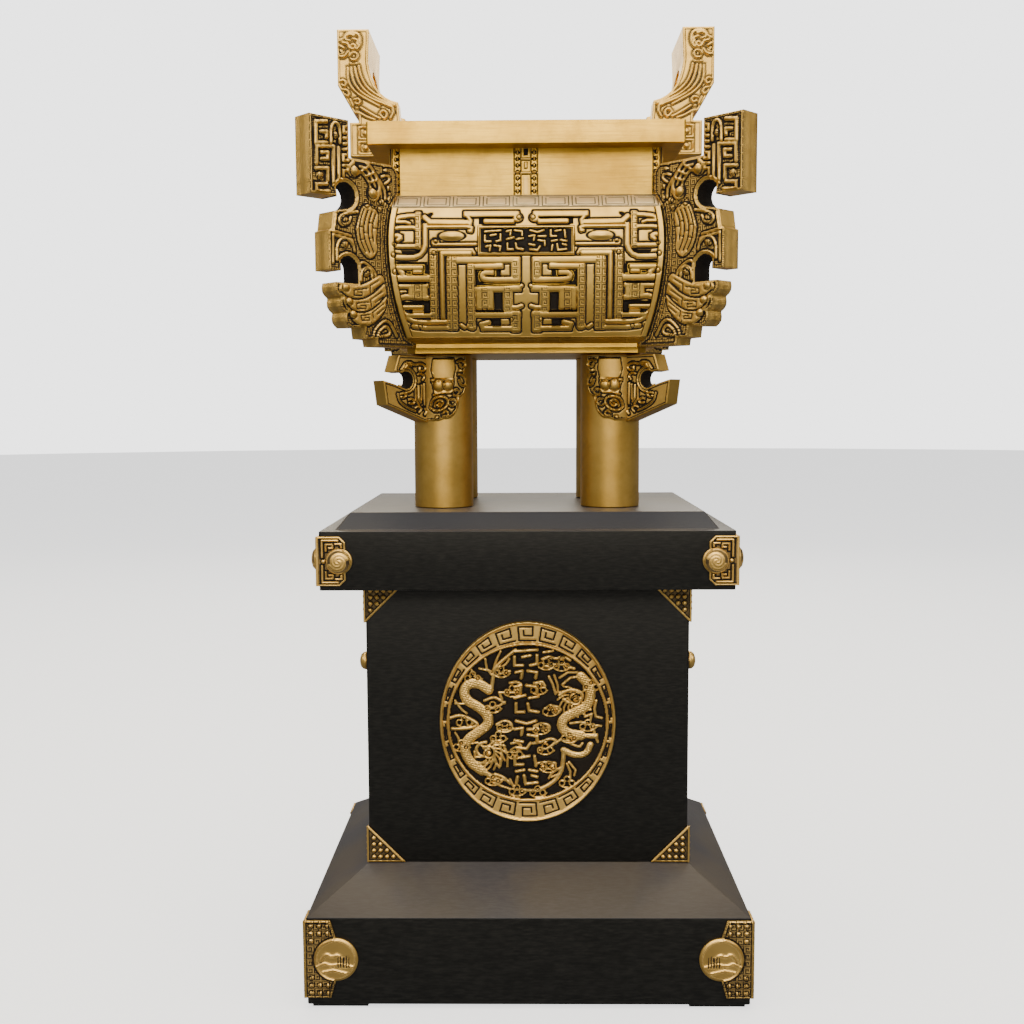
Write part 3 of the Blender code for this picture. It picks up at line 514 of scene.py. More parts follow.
def cut_sheet(outline, step, **style):
    """A sheet a little larger than an outline, cut to it."""
    a_values, b_values = zip(*outline)
    sheet = Carving(
        (min(a_values) - 1, min(b_values) - 1), (max(a_values) + 1, max(b_values) + 1), step, **style,
    )
    sheet.trim(outline)
    return sheet


def flat_place(origin, a_axis, b_axis, out):
    """Lays a plate in a plane: millimetres along two directions and outward."""
    axes = np.array([Vector(v).normalized()[:] for v in (a_axis, b_axis, out)])

    def place(points):
        return np.array(origin) + points @ axes / MM

    return place


def add_mesh(target, part):
    """Puts one worked mesh into another, with its layers."""
    data = bpy.data.meshes.new("part")
    part.to_mesh(data)
    part.free()
    target.from_mesh(data)
    bpy.data.meshes.remove(data)


def with_layers(bm):
    """Gives a mesh the layers that the bronze reads."""
    bm.verts.layers.float.new("dark")
    bm.verts.layers.float_vector.new("sheet")
    return bm


def new_casting():
    return with_layers(bmesh.new())


def turned(profile, steps):
    """A round piece from (radius, height) pairs, as it comes off the lathe."""
    piece = new_casting()
    chain = [piece.verts.new((radius, 0.0, height)) for radius, height in profile]
    edges = [piece.edges.new(pair) for pair in zip(chain, chain[1:])]
    bmesh.ops.spin(
        piece, geom=[*chain, *edges], cent=(0, 0, 0), axis=(0, 0, 1), angle=math.tau,
        steps=steps, use_merge=False,
    )
    bmesh.ops.remove_doubles(piece, verts=piece.verts, dist=0.001)
    return piece

# Base corner fittings: one stamped leaf on each face of the block, studs on a fret ground
# and a rimmed disc with a faint hill scene, pinned to the wood and mitred at the corner.
CORNERS = (
    ("front_left", -1, -1), ("front_right", 1, -1), ("back_left", -1, 1), ("back_right", 1, 1),
)
BASE_LEAF_HALF_HEIGHT = 35.5
BASE_LEAF_END = 21.5
BASE_DISC_RADIUS = 19.6
BASE_DISC_AT = 26.5
STUD_PITCH = 7.5
STUD_ROWS = ((31.2, 3), (24.0, 3), (16.8, 1))
WRAP = 2.6
LEAF_FACE, LEAF_BACK = 2.3, -0.3
POSTS, FIRST_POST, POST_PITCH = 5, 28.5, 2.4
HILLS = (
    ((13, -1), (18, 7), (23, 3), (28, 6), (33, 1)),
    ((10, -6), (16, -2), (22, -5), (30, -3), (42, -6)),
    ((14, -11), (24, -9), (36, -12)),
)


def arc(centre, radius, start, end, count):
    """Points of an arc, angles in degrees."""
    turns = [math.radians(start + (end - start) * k / count) for k in range(count + 1)]
    return [(centre[0] + radius * math.cos(t), centre[1] + radius * math.sin(t)) for t in turns]


def leaf_places(half_width, half_depth, middle_z, sx, sy):
    """The two faces beside a pedestal corner: a runs away from the corner, b upward."""
    corner = (sx * half_width, sy * half_depth, middle_z)
    return (
        flat_place(corner, (-sx, 0, 0), (0, 0, 1), (0, sy, 0)),
        flat_place(corner, (0, -sy, 0), (0, 0, 1), (sx, 0, 0)),
    )


def wrap_corners(kind, block, leaf, fine, coarse):
    """Wraps two leaves round every corner of a block, the front ones worked finer."""
    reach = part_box(block)[1]
    low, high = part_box(f"{kind}_front_left")
    for corner, sx, sy in CORNERS:
        metal = new_casting()
        for place in leaf_places(reach.x, reach.y, (low.z + high.z) / 2, sx, sy):
            add_mesh(metal, leaf(place, fine if sy < 0 else coarse))
        name = f"{kind}_{corner}"
        show(name + "_fitting", metal, fitting, [name])


def base_leaf(place, step):
    half, disc = BASE_LEAF_HALF_HEIGHT, (BASE_DISC_AT, 0.0)
    outline = [
        (-WRAP, -half), (BASE_LEAF_END, -half), (BASE_DISC_AT - 0.3, -BASE_DISC_RADIUS),
        *arc(disc, BASE_DISC_RADIUS, -88, 88, 40),
        (BASE_DISC_AT - 0.3, BASE_DISC_RADIUS), (BASE_LEAF_END, half), (-WRAP, half),
    ]
    leaf = cut_sheet(outline, step, rim=1.2)
    leaf.dark[:] = 0.45
    leaf.fretted[:] = 1.0
    from_disc = np.hypot(leaf.a - BASE_DISC_AT, leaf.b) - BASE_DISC_RADIUS
    leaf.fretted[from_disc < 0.5] = 0.0
    leaf.raise_metal(from_disc, 0.85)
    leaf.dark[from_disc < 0] = 0.12
    leaf.extra += 0.9 * ease(1.0 - np.abs(from_disc + 1.0) / 1.1)
    leaf.cut = np.maximum(leaf.cut, 0.6 * ease(1.0 - np.abs(from_disc + 2.6) / 0.8))
    for hill in HILLS:
        ridge = leaf.away(softened(hill))
        leaf.extra += 1.0 * ease(1.0 - ridge / 1.3)
        leaf.cut = np.maximum(leaf.cut, 0.55 * ease(1.0 - np.abs(ridge - 1.7) / 0.9) * (from_disc < -3))
    for post in range(POSTS):
        spot = FIRST_POST + POST_PITCH * post
        leaf.groove(1.0, 0.6, [(spot, -7), (spot, 2 + post % 2)])
    for sign in (-1, 1):
        for row, count in STUD_ROWS:
            for k in range(count):
                leaf.boss(2.2, 1.7, [(4.4 + STUD_PITCH * k, sign * row)])
    return leaf.finish(LEAF_FACE, LEAF_BACK, place)


fitting = bronze("fitting_bronze", (0.86, 0.56, 0.165), (0.62, 0.38, 0.100), worn=0.34)
wrap_corners("base_corner", "plinth_base", base_leaf, 0.75, 1.1)

# Cap corner fittings: chamfered leaves with a double border, a fret, and a cast dome that
# carries a swirl; each dome was soldered on before the leaf was pinned to the slab.
CAP_LEAF_WIDTH = 23.5
CAP_LEAF_HALF_HEIGHT = 21.75
CAP_LEAF_CUT = 5.0
CAP_DOME_RADIUS = 11.4
CAP_DOME_AT = 18.0
CAP_DOME_HEIGHT = 6.0
COIL_POINTS = 18
COIL_CORE = 0.15
CAP_KEYS = (
    ((3.2, 4), (3.2, 18.5), (17, 18.5)), ((6.4, 9.5), (6.4, 15.2), (12, 15.2)),
    ((9.4, 12), (12.5, 12), (12.5, 14)), ((15, 15.5), (20, 15.5), (20, 12.5)),
)
# A worked sheet keeps a tenth of its dark on raised metal, so this much more goes on there
ON_RAISED = 10.0


def spiral(centre, radius, turns, start):
    """A coil of points from the rim towards the middle."""
    points = []
    for k in range(COIL_POINTS + 1):
        share = k / COIL_POINTS
        angle = math.radians(start) + share * turns * math.tau
        reach = radius * (1.0 - share * (1.0 - COIL_CORE))
        points.append((centre[0] + reach * math.cos(angle), centre[1] + reach * math.sin(angle)))
    return points


def cap_leaf(place, step):
    half, wide, cut = CAP_LEAF_HALF_HEIGHT, CAP_LEAF_WIDTH, CAP_LEAF_CUT
    middle = (CAP_DOME_AT, 0.0)
    outline = [
        (-WRAP, -half), (wide - cut, -half), (wide, -half + cut), (wide, -10.0),
        *arc(middle, CAP_DOME_RADIUS, -61, 61, 24),
        (wide, 10.0), (wide, half - cut), (wide - cut, half), (-WRAP, half),
    ]
    leaf = cut_sheet(outline, step, rim=1.1)
    leaf.dark[:] = 0.5
    away = np.hypot(leaf.a - CAP_DOME_AT, leaf.b)
    for sign in (-1, 1):
        for key in CAP_KEYS:
            leaf.bar(1.4, 0.9, [(a, sign * b) for a, b in key])
    leaf.boss(1.9, 1.2, [(4.2, 0.0)])
    dome = np.sqrt(np.clip(1.0 - (away / CAP_DOME_RADIUS) ** 2, 0.0, 1.0))
    on_dome = away < CAP_DOME_RADIUS
    swirl = np.zeros(len(away))
    for turn in (20, 200):
        swirl = np.maximum(swirl, ease(1.3 - leaf.away(spiral(middle, 8.2, 1.15, turn)) / 1.3))
    leaf.near = np.where(on_dome, -5.0, leaf.near)
    leaf.rise = np.where(on_dome, 0.55 + CAP_DOME_HEIGHT * dome + 0.55 * swirl, leaf.rise)
    shade = 0.55 * (1 - swirl) * ease((CAP_DOME_RADIUS - away) / 2.0) * ON_RAISED
    leaf.dark = np.where(on_dome, shade, leaf.dark)
    return leaf.finish(LEAF_FACE, LEAF_BACK, place)


wrap_corners("cap_corner", "plinth_cap", cap_leaf, 0.6, 0.9)

# Shaft corner fittings: small triangles, ten studs inside a raised border, one on each
# face at the top and the bottom of every corner.
TRIANGLE_LEG = 34.0
TRIANGLE_WRAP = 1.9
TRIANGLE_STUD_PITCH = 6.0
GAP = 0.0003


def triangle_leaf(place, step):
    leaf = cut_sheet([
        (-TRIANGLE_WRAP, 0.0), (TRIANGLE_LEG, 0.0), (0.0, TRIANGLE_LEG), (-TRIANGLE_WRAP, TRIANGLE_LEG),
    ], step, rim=1.5)
    leaf.dark[:] = 0.55
    for row in range(4):
        for k in range(4 - row):
            leaf.boss(2.0, 1.6, [(4.6 + TRIANGLE_STUD_PITCH * k, 4.8 + TRIANGLE_STUD_PITCH * row)])
    return leaf.finish(1.5, -0.3, place)


shaft_low, shaft_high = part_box("plinth_shaft")
for end, foot_z, rise in (("bottom", shaft_low.z + GAP, 1), ("top", shaft_high.z - GAP, -1)):
    for corner, sx, sy in CORNERS:
        metal = new_casting()
        foot = (sx * shaft_high.x, sy * shaft_high.y, foot_z)
        for along, out in (((-sx, 0, 0), (0, sy, 0)), ((0, -sy, 0), (sx, 0, 0))):
            place = flat_place(foot, along, (0, 0, rise), out)
            add_mesh(metal, triangle_leaf(place, 0.75 if sy < 0 else 1.0))
        name = f"shaft_corner_{end}_{corner}"
        show(name + "_fitting", metal, fitting, [name])

# Oval plaque: cast in one, an oval and a round lip either side of a key fret, a sunk dark
# field with two long bodies, clouds and a column of raised strokes. Screwed to the shaft.
OVAL = (80.5, 93.3)
RING_INNER = 71.5
LIP = 2.6
FRET_KEYS = 26
KEY_COIL = (
    (0.10, 0.08), (0.90, 0.08), (0.90, 0.92), (0.26, 0.92), (0.26, 0.36), (0.66, 0.36), (0.66, 0.66),
)
KEY_REACH = 0.2
MEDALLION_CARVING = (
    ("bar", 3.4, 2.2, (-10.9, 66.9, -18.3, 61, -29.3, 51.1, -31.8, 39.9, -32.5, 32.4)),
    ("bar", 9.3, 2.6, (-35.6, 30, -44.1, 36.2, -53.9, 36.2, -58.8, 28.7, -55.8, 20, -44.2, 13.8, -36.3,
     6.3, -35.8, -2.5, -44.4, -8.8, -55.5, -16.3, -58.6, -26.3, -53.2, -37.6, -42.2, -45.8)),
    ("bar", 5, 2.4, (-42.2, -45.8, -33.6, -50.9, -27.5, -55.3)),
    ("bar", 2.34, 2, (-32.4, 43.6, -37.3, 49.8, -38.4, 58.5), (-33.6, 47.4, -44, 49.9), (-31.2, 48.6,
     -28.1, 58.5, -24.4, 65.7)),
    ("bar", 2.6, 2, (-29.4, 43.6, -20.8, 46.1, -15.9, 47.3)),
    ("bar", 2.34, 2, (-26.9, 49.8, -19.5, 53.5, -16.5, 58.5)),
    ("bar", 3.2, 2.4, (-71.3, 3.8, -61.4, 6.9, -51.7, 2.5, -44.3, -2.5, -54.2, -6.2, -68.9, -6.2)),
    ("bar", 2.34, 2.2, (-66.2, 20, -61.4, 12.5, -55.9, 8.2), (-66.3, 17.5, -55.2, 16.9, -44.2, 13.8)),
    ("bar", 2.34, 2, (-66.5, -10, -63.5, -15, -62.9, -21.3), (-51.3, 48.6, -47.7, 42.4, -41.6, 39.9)),
    ("bar", 2.86, 2.2, (-39.3, 20, -30.7, 23.7, -24.6, 20, -20.9, 17.5)),
    ("bar", 2.6, 2.2, (-39.3, 13.8, -32, 12.5, -25.8, 15, -20.9, 18.7), (-25.8, 27.5, -6.2, 27.4),
     (-25.8, 27.5, -23.4, 21.2)),
    ("bar", 3.12, 2.2, (-38.3, -18.8, -44.5, -20, -48.2, -26.3, -43.3, -32.6, -35.9, -31.4, -34.7, -25.1,
     -40.2, -24.4)),
    ("bar", 2.6, 2, (-32.2, -16.3, -29.7, -25.1, -31, -35.1, -26.2, -42.7)),
    ("bar", 2.34, 2, (-26, -20.1, -23.6, -30.1, -24.9, -40.2), (-22.4, -21.3, -18.1, -31.4, -18.8,
     -41.4)),
    ("bar", 2.6, 2, (-48.3, -37.6, -38.4, -38.9, -31, -36.4)),
    ("bar", 2.86, 2, (-29.9, -49, -22.5, -51.5, -16.4, -57.8)),
    ("bar", 2.34, 2, (-32.4, -56.6, -23.8, -60.4, -16.4, -62.9), (-23.7, -54, -18.2, -55.3)),
    ("bar", 2.86, 2, (-28.4, -2.5, -22.2, 1.2, -16.1, 0, -13.7, -5, -18.6, -7.5, -26, -6.3)),
    ("boss", 3, 1.6, (-21, -3.1)),
    ("bar", 9.3, 2.6, (48.8, 42.3, 56.1, 34.8, 57.9, 24.9, 54.9, 14.9, 43.9, 9.3, 33.5, 4.3, 30.4, -3.8,
     36, -10.7, 48.8, -12.6)),
    ("bar", 5, 2.4, (48.8, -12.6, 62.3, -13.2)),
    ("bar", 6, 2.5, (32.9, -26.4, 42.7, -31.4, 53.7, -30.2, 57.4, -21.4)),
    ("bar", 4.2, 2.4, (32.9, -27.6, 32.3, -40.2, 29.2, -50.3, 21.8, -57.9, 11.9, -62.9)),
    ("bar", 2.34, 2, (35.9, -39, 39, -46.5, 39, -54.1), (37.8, -37.7, 43.9, -45.3, 42.7, -50.3), (30.4,
     -42.7, 21.8, -47.8, 19.3, -52.8), (28, -49, 21.8, -51.5)),
    ("bar", 3.4, 2.4, (29.2, 24.9, 36.6, 29.9, 45.1, 29.8, 51.2, 24.9, 47.6, 18.6, 37.8, 17.4, 32.9,
     21.2)),
    ("boss", 3.6, 1.8, (42.1, 23.9)),
    ("bar", 2.6, 2.2, (29.3, 41.1, 36.6, 46, 45.1, 46), (31.7, 34.8, 39, 41, 47.6, 42.3), (19.5, 42.3,
     23.1, 34.9, 25.6, 26.1)),
    ("bar", 2.34, 2.2, (24.4, 43.5, 27.4, 34.8, 28, 27.4)),
    ("bar", 2.86, 2, (13.4, 58.4, 19.5, 60.9, 25.6, 58.4, 32.9, 60.9, 39, 57.2), (15.8, 52.2, 23.2, 51,
     30.5, 54.7, 37.8, 51, 42.7, 49.7)),
    ("boss", 2.4, 1.6, (20.7, 57.2), (31.7, 58.4)),
    ("bar", 2.6, 2, (14.6, 64.6, 23.2, 65.9), (62.8, 19.9, 61, 12.4, 62.3, 4.9, 67.8, 3.6)),
    ("bar", 2.6, 2.2, (39, -1.3, 48.8, -0.1, 57.4, -2.6, 67.2, -3.9)),
    ("bar", 2.6, 2, (52.5, 4.9, 58.6, 7.4, 57.4, 1.2), (59.8, -6.3, 64.2, -18.9)),
    ("bar", 2.86, 2, (15.8, 12.4, 21.9, 14.9, 29.2, 13.7, 30.5, 9.9, 23.1, 9.3)),
    ("boss", 2.4, 1.6, (20.7, 11.8)),
    ("bar", 2.86, 2, (5.9, -3.8, 12.1, -1.3, 19.4, -2.6, 20.6, -6.3, 13.3, -7.6)),
    ("boss", 2.4, 1.6, (13.3, -4.8)),
    ("bar", 2.86, 2, (4.7, -20.1, 13.3, -18.8, 20.6, -15.1, 26.8, -17.6, 20.6, -23.9, 9.6, -26.4)),
    ("boss", 2.6, 1.6, (16.9, -20.1)),
    ("bar", 2.86, 2, (8.3, -38.9, 16.9, -37.7, 25.5, -38.9, 24.3, -43.4, 12, -44)),
    ("boss", 2.4, 1.6, (13.2, -40.8), (21.8, -40.8)),
    ("bar", 2.86, 2, (-15, -20.1, -8.8, -18.8, -5.2, -23.8, -10.1, -28.9, -15, -26.3)),
    ("bar", 2.6, 2, (39, -20.1, 47.6, -23.9, 50.1, -20.1), (25.5, -20.1, 30.4, -16.3, 37.8, -17.6)),
    ("bar", 2.86, 2, (-16, 36.2, -9.8, 37.4, -5, 34.9, -8.6, 31.8), (6, 36.1, 13.4, 37.4, 15.8, 33.6),
     (-12.7, -62.9, -0.4, -64.2, 10.7, -64.2)),
    ("bar", 2.6, 2, (-16.4, -54.1, -12.7, -61.6)),
)


SIGNS = (
    (((-9, 9), (8, 10)), ((-9, 5), (-9, -1), (-3, -1)), ((-3, 5), (3, 6)), ((8, 6), (8, 0), (3, -1)),
     ((-8, -6), (-3, -5), (-4, -10)), ((1, -5), (8, -6), (7, -10))),
    (((-9, 9), (-4, 10), (-5, 5)), ((0, 10), (8, 9), (8, 5)), ((-9, 1), (-1, 3)), ((2, 1), (9, 2)),
     ((-8, -3), (-8, -9), (-2, -9)), ((1, -3), (2, -8), (9, -9))),
    (((-8, 10), (0, 8), (7, 10)), ((-9, 4), (-3, 5), (-4, 0)), ((1, 4), (9, 4)), ((1, 0), (8, -1), (8, -5)),
     ((-9, -4), (-3, -5)), ((-8, -9), (0, -10), (3, -6))),
    (((-9, 10), (-9, 4), (-3, 4)), ((-4, 9), (2, 10)), ((6, 10), (7, 3)), ((-8, -1), (-2, 0)),
     ((2, 0), (8, -1)), ((-7, -5), (-8, -10)), ((-2, -4), (-1, -10), (8, -9)), ((4, -4), (8, -5))),
)
SIGN_ROWS = (54.0, 21.0, -12.0, -45.0)
CLOUDS = (
    (-14, 29), (10, 31), (21, 11), (-21, -4), (12, -6), (16, -25), (-12, -29), (19, -42), (-32, 14),
    (-58, 1), (17, 54), (31, 53), (-50, 42), (-24, 47), (-10, -64), (9, -65), (-32, -54), (55, -3),
    (38, -14), (-27, -14), (36, -56), (58, 34), (-61, -22),
)
HEADS = ((-36, -29, -1), (44, 21, 1))


def cloud(sheet, a, b):
    """Three small coils with a curling tail."""
    for lobe_a, lobe_b in ((a - 4.6, b - 1.2), (a + 4.6, b - 1.2), (a, b + 2.6)):
        sheet.bar(1.7, 2.2, arc((lobe_a, lobe_b), 2.4, -60, 240, 12))
        sheet.boss(1.2, 1.6, [(lobe_a, lobe_b)])
    sheet.bar(1.9, 2.0, arc((a, b + 5.5), 11.0, 232, 318, 8))


def beast_head(sheet, a, b, turn):
    """A round head with a coiled brow and a mane that streams back from it."""
    for strand in range(9):
        start = math.radians(95 + 24 * strand)
        points = [(start + 0.07 * (reach - 7), reach) for reach in (7, 10, 13, 16.5)]
        sheet.bar(2.1, 2.2, [(a + turn * r * math.cos(t), b + r * math.sin(t)) for t, r in points])
    sheet.bar(2.6, 2.6, [(a + turn * (x - a), y) for x, y in spiral((a, b), 7.0, 1.5, 60)])
    sheet.bar(2.4, 2.4, [(a + turn * 6, b - 3), (a + turn * 12, b - 4), (a + turn * 13, b + 1)])
    sheet.bar(2.2, 2.3, [(a + turn * 5, b + 6), (a + turn * 10, b + 10), (a + turn * 15, b + 9)])
    sheet.boss(2.6, 2.0, [(a, b)])


def strike_signs(sheet, width, rise, centres, scale):
    """Groups of short strokes that stand where an inscription would; they spell nothing."""
    for (a, b), strokes in zip(centres, SIGNS):
        for stroke in strokes:
            sheet.bar(width, rise, [(a + scale[0] * u, b + scale[1] * v) for u, v in stroke])


def plaque(place, step):
    turns = np.arange(120) * math.tau / 120
    sheet = cut_sheet([(OVAL[0] * math.cos(t), OVAL[1] * math.sin(t)) for t in turns], step, crown=0.6)
    from_circle = np.hypot(sheet.a, sheet.b) - RING_INNER
    on_ring = from_circle > 0
    sheet.dark[:] = np.where(on_ring, 0.24, 1.0)
    sheet.work(MEDALLION_CARVING)
    for a, b in CLOUDS:
        cloud(sheet, a, b)
    for a, b, turn in HEADS:
        beast_head(sheet, a, b, turn)
    strike_signs(sheet, 3.2, 2.8, [(-1.0, row) for row in SIGN_ROWS], (1.2, 1.3))
    sheet.near = np.where(on_ring, FAR, sheet.near)
    scale = np.sin(1.9 * sheet.a + 1.1 * sheet.b) * np.sin(1.9 * sheet.b - 1.1 * sheet.a)
    body = (sheet.near < -1.6) & (sheet.rise > 1.2) & ~on_ring & (np.abs(sheet.a) > 26)
    sheet.extra += np.where(body, 0.45 * scale, 0.0)
    sheet.dark = np.where(body & (scale < -0.25), 0.35 * ON_RAISED, sheet.dark)
    sheet.ground = sheet.ground + 1.9 * (1 - ease(-from_circle))
    for key in range(FRET_KEYS):
        start = math.tau * key / FRET_KEYS
        points = []
        for along, across in KEY_COIL:
            angle = start + along * math.tau / FRET_KEYS
            outer = 1.0 / math.hypot(math.cos(angle) / OVAL[0], math.sin(angle) / OVAL[1])
            low, high = RING_INNER + LIP + 0.9, outer - LIP - 0.9
            reach = low + (high - low) * across
            points.append((reach * math.cos(angle), reach * math.sin(angle)))
        off = np.abs(np.arctan2(sheet.b, sheet.a) % math.tau - start - math.pi / FRET_KEYS)
        share = ease(1.25 - sheet.away(points)) * (off < KEY_REACH)
        sheet.extra -= 0.9 * share
        sheet.dark = np.maximum(sheet.dark, share * on_ring * 0.95)
    for distance in (from_circle, sheet.to_edge):
        off = np.abs(distance - LIP / 2)
        lip = np.sqrt(np.clip(1.0 - (off / (LIP / 2)) ** 2, 0.0, 1.0))
        sheet.extra = np.maximum(sheet.extra, 0.0) * (lip > 0) + sheet.extra * (lip == 0) + 1.6 * lip
        sheet.dark = np.where(lip > 0.2, 0.0, sheet.dark)
    return sheet.finish(LEAF_FACE, 0.0, place)


fit_low, fit_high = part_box("shaft_medallion")
plaque_place = flat_place(
    (0.0, fit_high.y, (fit_low.z + fit_high.z) / 2), (1, 0, 0), (0, 0, 1), (0, -1, 0)
)
show(
    "shaft_medallion_plaque", plaque(plaque_place, 0.7), fitting, ["shaft_medallion"],
)

# Side pulls: a turned rose with a ring of beading and a necked knob, in one piece, pinned
# through the board on each end of the shaft.
PULL_PROFILE = (
    (0.0, 0.3), (20.0, 0.3), (20.0, 2.0), (19.2, 3.0), (17.6, 3.2), (16.6, 2.5), (14.0, 3.4),
    (10.0, 4.6), (7.6, 6.4), (6.2, 8.6), (6.8, 10.8), (8.6, 12.6), (9.0, 14.6), (8.4, 17.0),
    (6.4, 19.2), (3.2, 20.3), (0.0, 20.5),
)
BEADS = 20
BEAD_CIRCLE = 15.4
for side, sx in (("left", -1), ("right", 1)):
    low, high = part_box(f"side_boss_{side}")
    metal = turned(PULL_PROFILE, 48)
    for bead in range(BEADS):
        angle = math.tau * bead / BEADS
        spot = Matrix.Translation((BEAD_CIRCLE * math.cos(angle), BEAD_CIRCLE * math.sin(angle), 3.0))
        bmesh.ops.create_icosphere(metal, subdivisions=2, radius=1.2, matrix=spot)
    place = flat_place((sx * shaft_high.x, 0.0, (low.z + high.z) / 2), (0, sx, 0), (0, 0, 1), (sx, 0, 0))
    for vert, spot in zip(metal.verts, place(np.array([vert.co[:] for vert in metal.verts]))):
        vert.co = spot
    show(f"side_boss_{side}_pull", metal, fitting, [f"side_boss_{side}"])

# Legs: round columns cast in bronze, each with an animal mask wrapped round its outer side
# and a hook on the diagonal between the mask's halves; chased after casting.
LEG_RADIUS = 27.5
LEG_AXIS = (0.0782, 0.0525)
LEG_PROFILE = (
    (0.0, 0.0), (LEG_RADIUS - 0.7, 0.0), (LEG_RADIUS, 0.7), (LEG_RADIUS, 60.0), (LEG_RADIUS, 141.0),
    (LEG_RADIUS - 0.6, 141.4), (0.0, 141.4),
)
HOOK_HALF_THICKNESS = 8.0
HOOK_TOP = -1.5
SLOT = (50.8, -23.8)
SLOT_RADIUS = 7.8
MASK_ARC_RADIUS = 30.0
MASK_OUTLINE = (
    (50.8, -0.6), (51.2, -12.0), (48.0, -15.7), (51.0, -21.5), (51.0, -28.9), (47.5, -36.3),
    (42.6, -39.8), (41.1, -48.0), (37.2, -54.8), (31.9, -59.0), (25.5, -59.4), (21.0, -61.0),
    (12.0, -61.0), (0.0, -60.0),
)
MASK_CARVING = (
    ("pad", 0, 1.9, (15.9, -4.9, 36.2, -4.4, 37.3, -13.3, 35, -22.2, 16.9, -22.1, 14.2, -14.2)),
    ("bar", 1.7, 2.7, (19.2, -7.5, 31.3, -7.1), (18.6, -10.7, 31.3, -10.4)),
    ("bar", 1.6, 2.7, (22.3, -11, 22.3, -18.5), (26.8, -11, 26.8, -18.5), (21.8, -14.5, 27.5, -14.6)),
    ("bar", 1.7, 2.7, (17.5, -17.4, 20.6, -20, 16.9, -20.5, 15.8, -16.9), (30.1, -19.6, 34.4, -18.5,
     35.4, -14.8, 32.3, -14.5)),
    ("bar", 2.6, 2.4, (14.6, -23.9, 34.4, -23.3)),
    ("pad", 0, 1.7, (14.6, -25.9, 36, -25.4, 34.3, -34.7, 17.3, -36.2)),
    ("boss", 5.4, 2.6, (21.4, -28.4)),
    ("boss", 4.8, 2.6, (30, -28.4)),
    ("bar", 1.6, 2.3, (17.3, -28.9, 19, -24.7, 24.3, -24.8, 25.8, -28.9)),
    ("bar", 2, 2.3, (12.6, -48.8, 14.4, -41.4, 21.5, -38.3, 28.4, -39.4, 31, -44.1, 26.7, -49.9, 18.2,
     -52.4, 12.6, -48.8)),
    ("bar", 1.6, 2.5, (17.1, -47.7, 17.7, -43.5, 22.6, -41.5, 26.2, -44.1, 22.5, -48.3, 19.3, -46.7, 22,
     -44.6)),
    ("bar", 1.8, 2.2, (15.9, -37.2, 21.6, -35.4, 32.1, -34.7)),
    ("bar", 2, 2.2, (40.3, -7, 44, -5.3, 48.9, -6.8, 49.3, -11.5, 43.9, -12.1, 42.7, -9), (41.4, -18.5,
     45.9, -18.4, 50.2, -23.6, 49.4, -28.9, 43.8, -28.4, 41.9, -23.7), (36, -33.1, 38.8, -31.6, 41.8,
     -34.2, 40, -37.3, 36.5, -37.1)),
    ("bar", 2.2, 2.2, (40.5, -39.4, 46.4, -37.3, 50.1, -31), (39.9, -40.5, 40.1, -48.9, 36.3, -54.1,
     29.8, -59.3, 25.5, -58.2), (23.4, -59.3, 19.2, -61.9, 13.6, -60.8)),
    ("boss", 2.6, 2.6, (43.9, -15.1), (34.2, -43.6)),
    ("boss", 3, 2.6, (27.7, -54.3)),
    ("boss", 2.4, 2.6, (19.4, -58.4)),
    ("boss", 2.2, 2.6, (38.6, -34.7)),
    ("bar", 1.8, 2, (32.1, -41.5, 36.5, -40.5, 38.1, -44.7, 34.2, -47.8, 31.5, -45.7), (24.5, -54, 27.7,
     -51.1, 31.4, -54.1, 28.2, -57.4, 25, -56.7)),
)
HOOK_CARVING = (
    ("bar", 1.8, 1.3, (55.1, -13.1, 51.7, -8.4, 45, -7.7, 41.7, -9.7)),
    ("bar", 1.6, 1.2, (53.1, -14.1, 49.7, -10.4, 44.4, -10.5)),
    ("bar", 1.7, 1.3, (39.7, -9.7, 31.5, -8.5, 27.4, -12, 30.2, -15.7, 35.7, -14.8, 34.9, -12.2), (37.1,
     -18.5, 33, -17.4, 28.9, -20.4, 31.7, -23.6)),
    ("bar", 1.6, 1.3, (40, -31, 40.1, -41.4, 36.1, -45.6), (36.5, -28.9, 36.7, -40.3, 34, -44), (33.1,
     -28.3, 33.3, -41.4), (29.7, -27.2, 29.5, -45.6)),
    ("bar", 1.7, 1.3, (57.5, -36.2, 53.5, -35.2, 50.2, -37.2, 53.6, -39.8, 56.9, -38.8), (48.2, -41.4,
     44.2, -40.3, 40.8, -43.5, 44.3, -45.5, 47.6, -44.5)),
    ("bar", 1.6, 1.2, (60.8, -36.2, 58.7, -43.4, 49.7, -48.6, 40.3, -51.8)),
    ("bar", 1.7, 1.3, (40.2, -48.7, 36.1, -47.1, 32.8, -49.8, 36.2, -52.9), (29.3, -49.8, 26.6, -51.9,
     29.4, -55.1)),
)


def leg_mask(axis, outward, top_z, step):
    mask = Carving((-52, -62), (52, 0), step, rim=1.2, soot=0.85, crown=0.6)
    outline = [*MASK_OUTLINE, *((-a, b) for a, b in reversed(MASK_OUTLINE[:-1]))]
    mask.trim(outline)
    mask.dark[:] = 0.30
    for turn in (-1, 1):
        mask.work(MASK_CARVING, turn)

    def place(points):
        angle = outward + points[:, 0] / MASK_ARC_RADIUS
        reach = points[:, 2] / MM
        return np.stack([
            axis[0] + reach * np.cos(angle), axis[1] + reach * np.sin(angle), top_z + points[:, 1] / MM,
        ], 1)

    return mask.finish(28.2, -26.5, place)


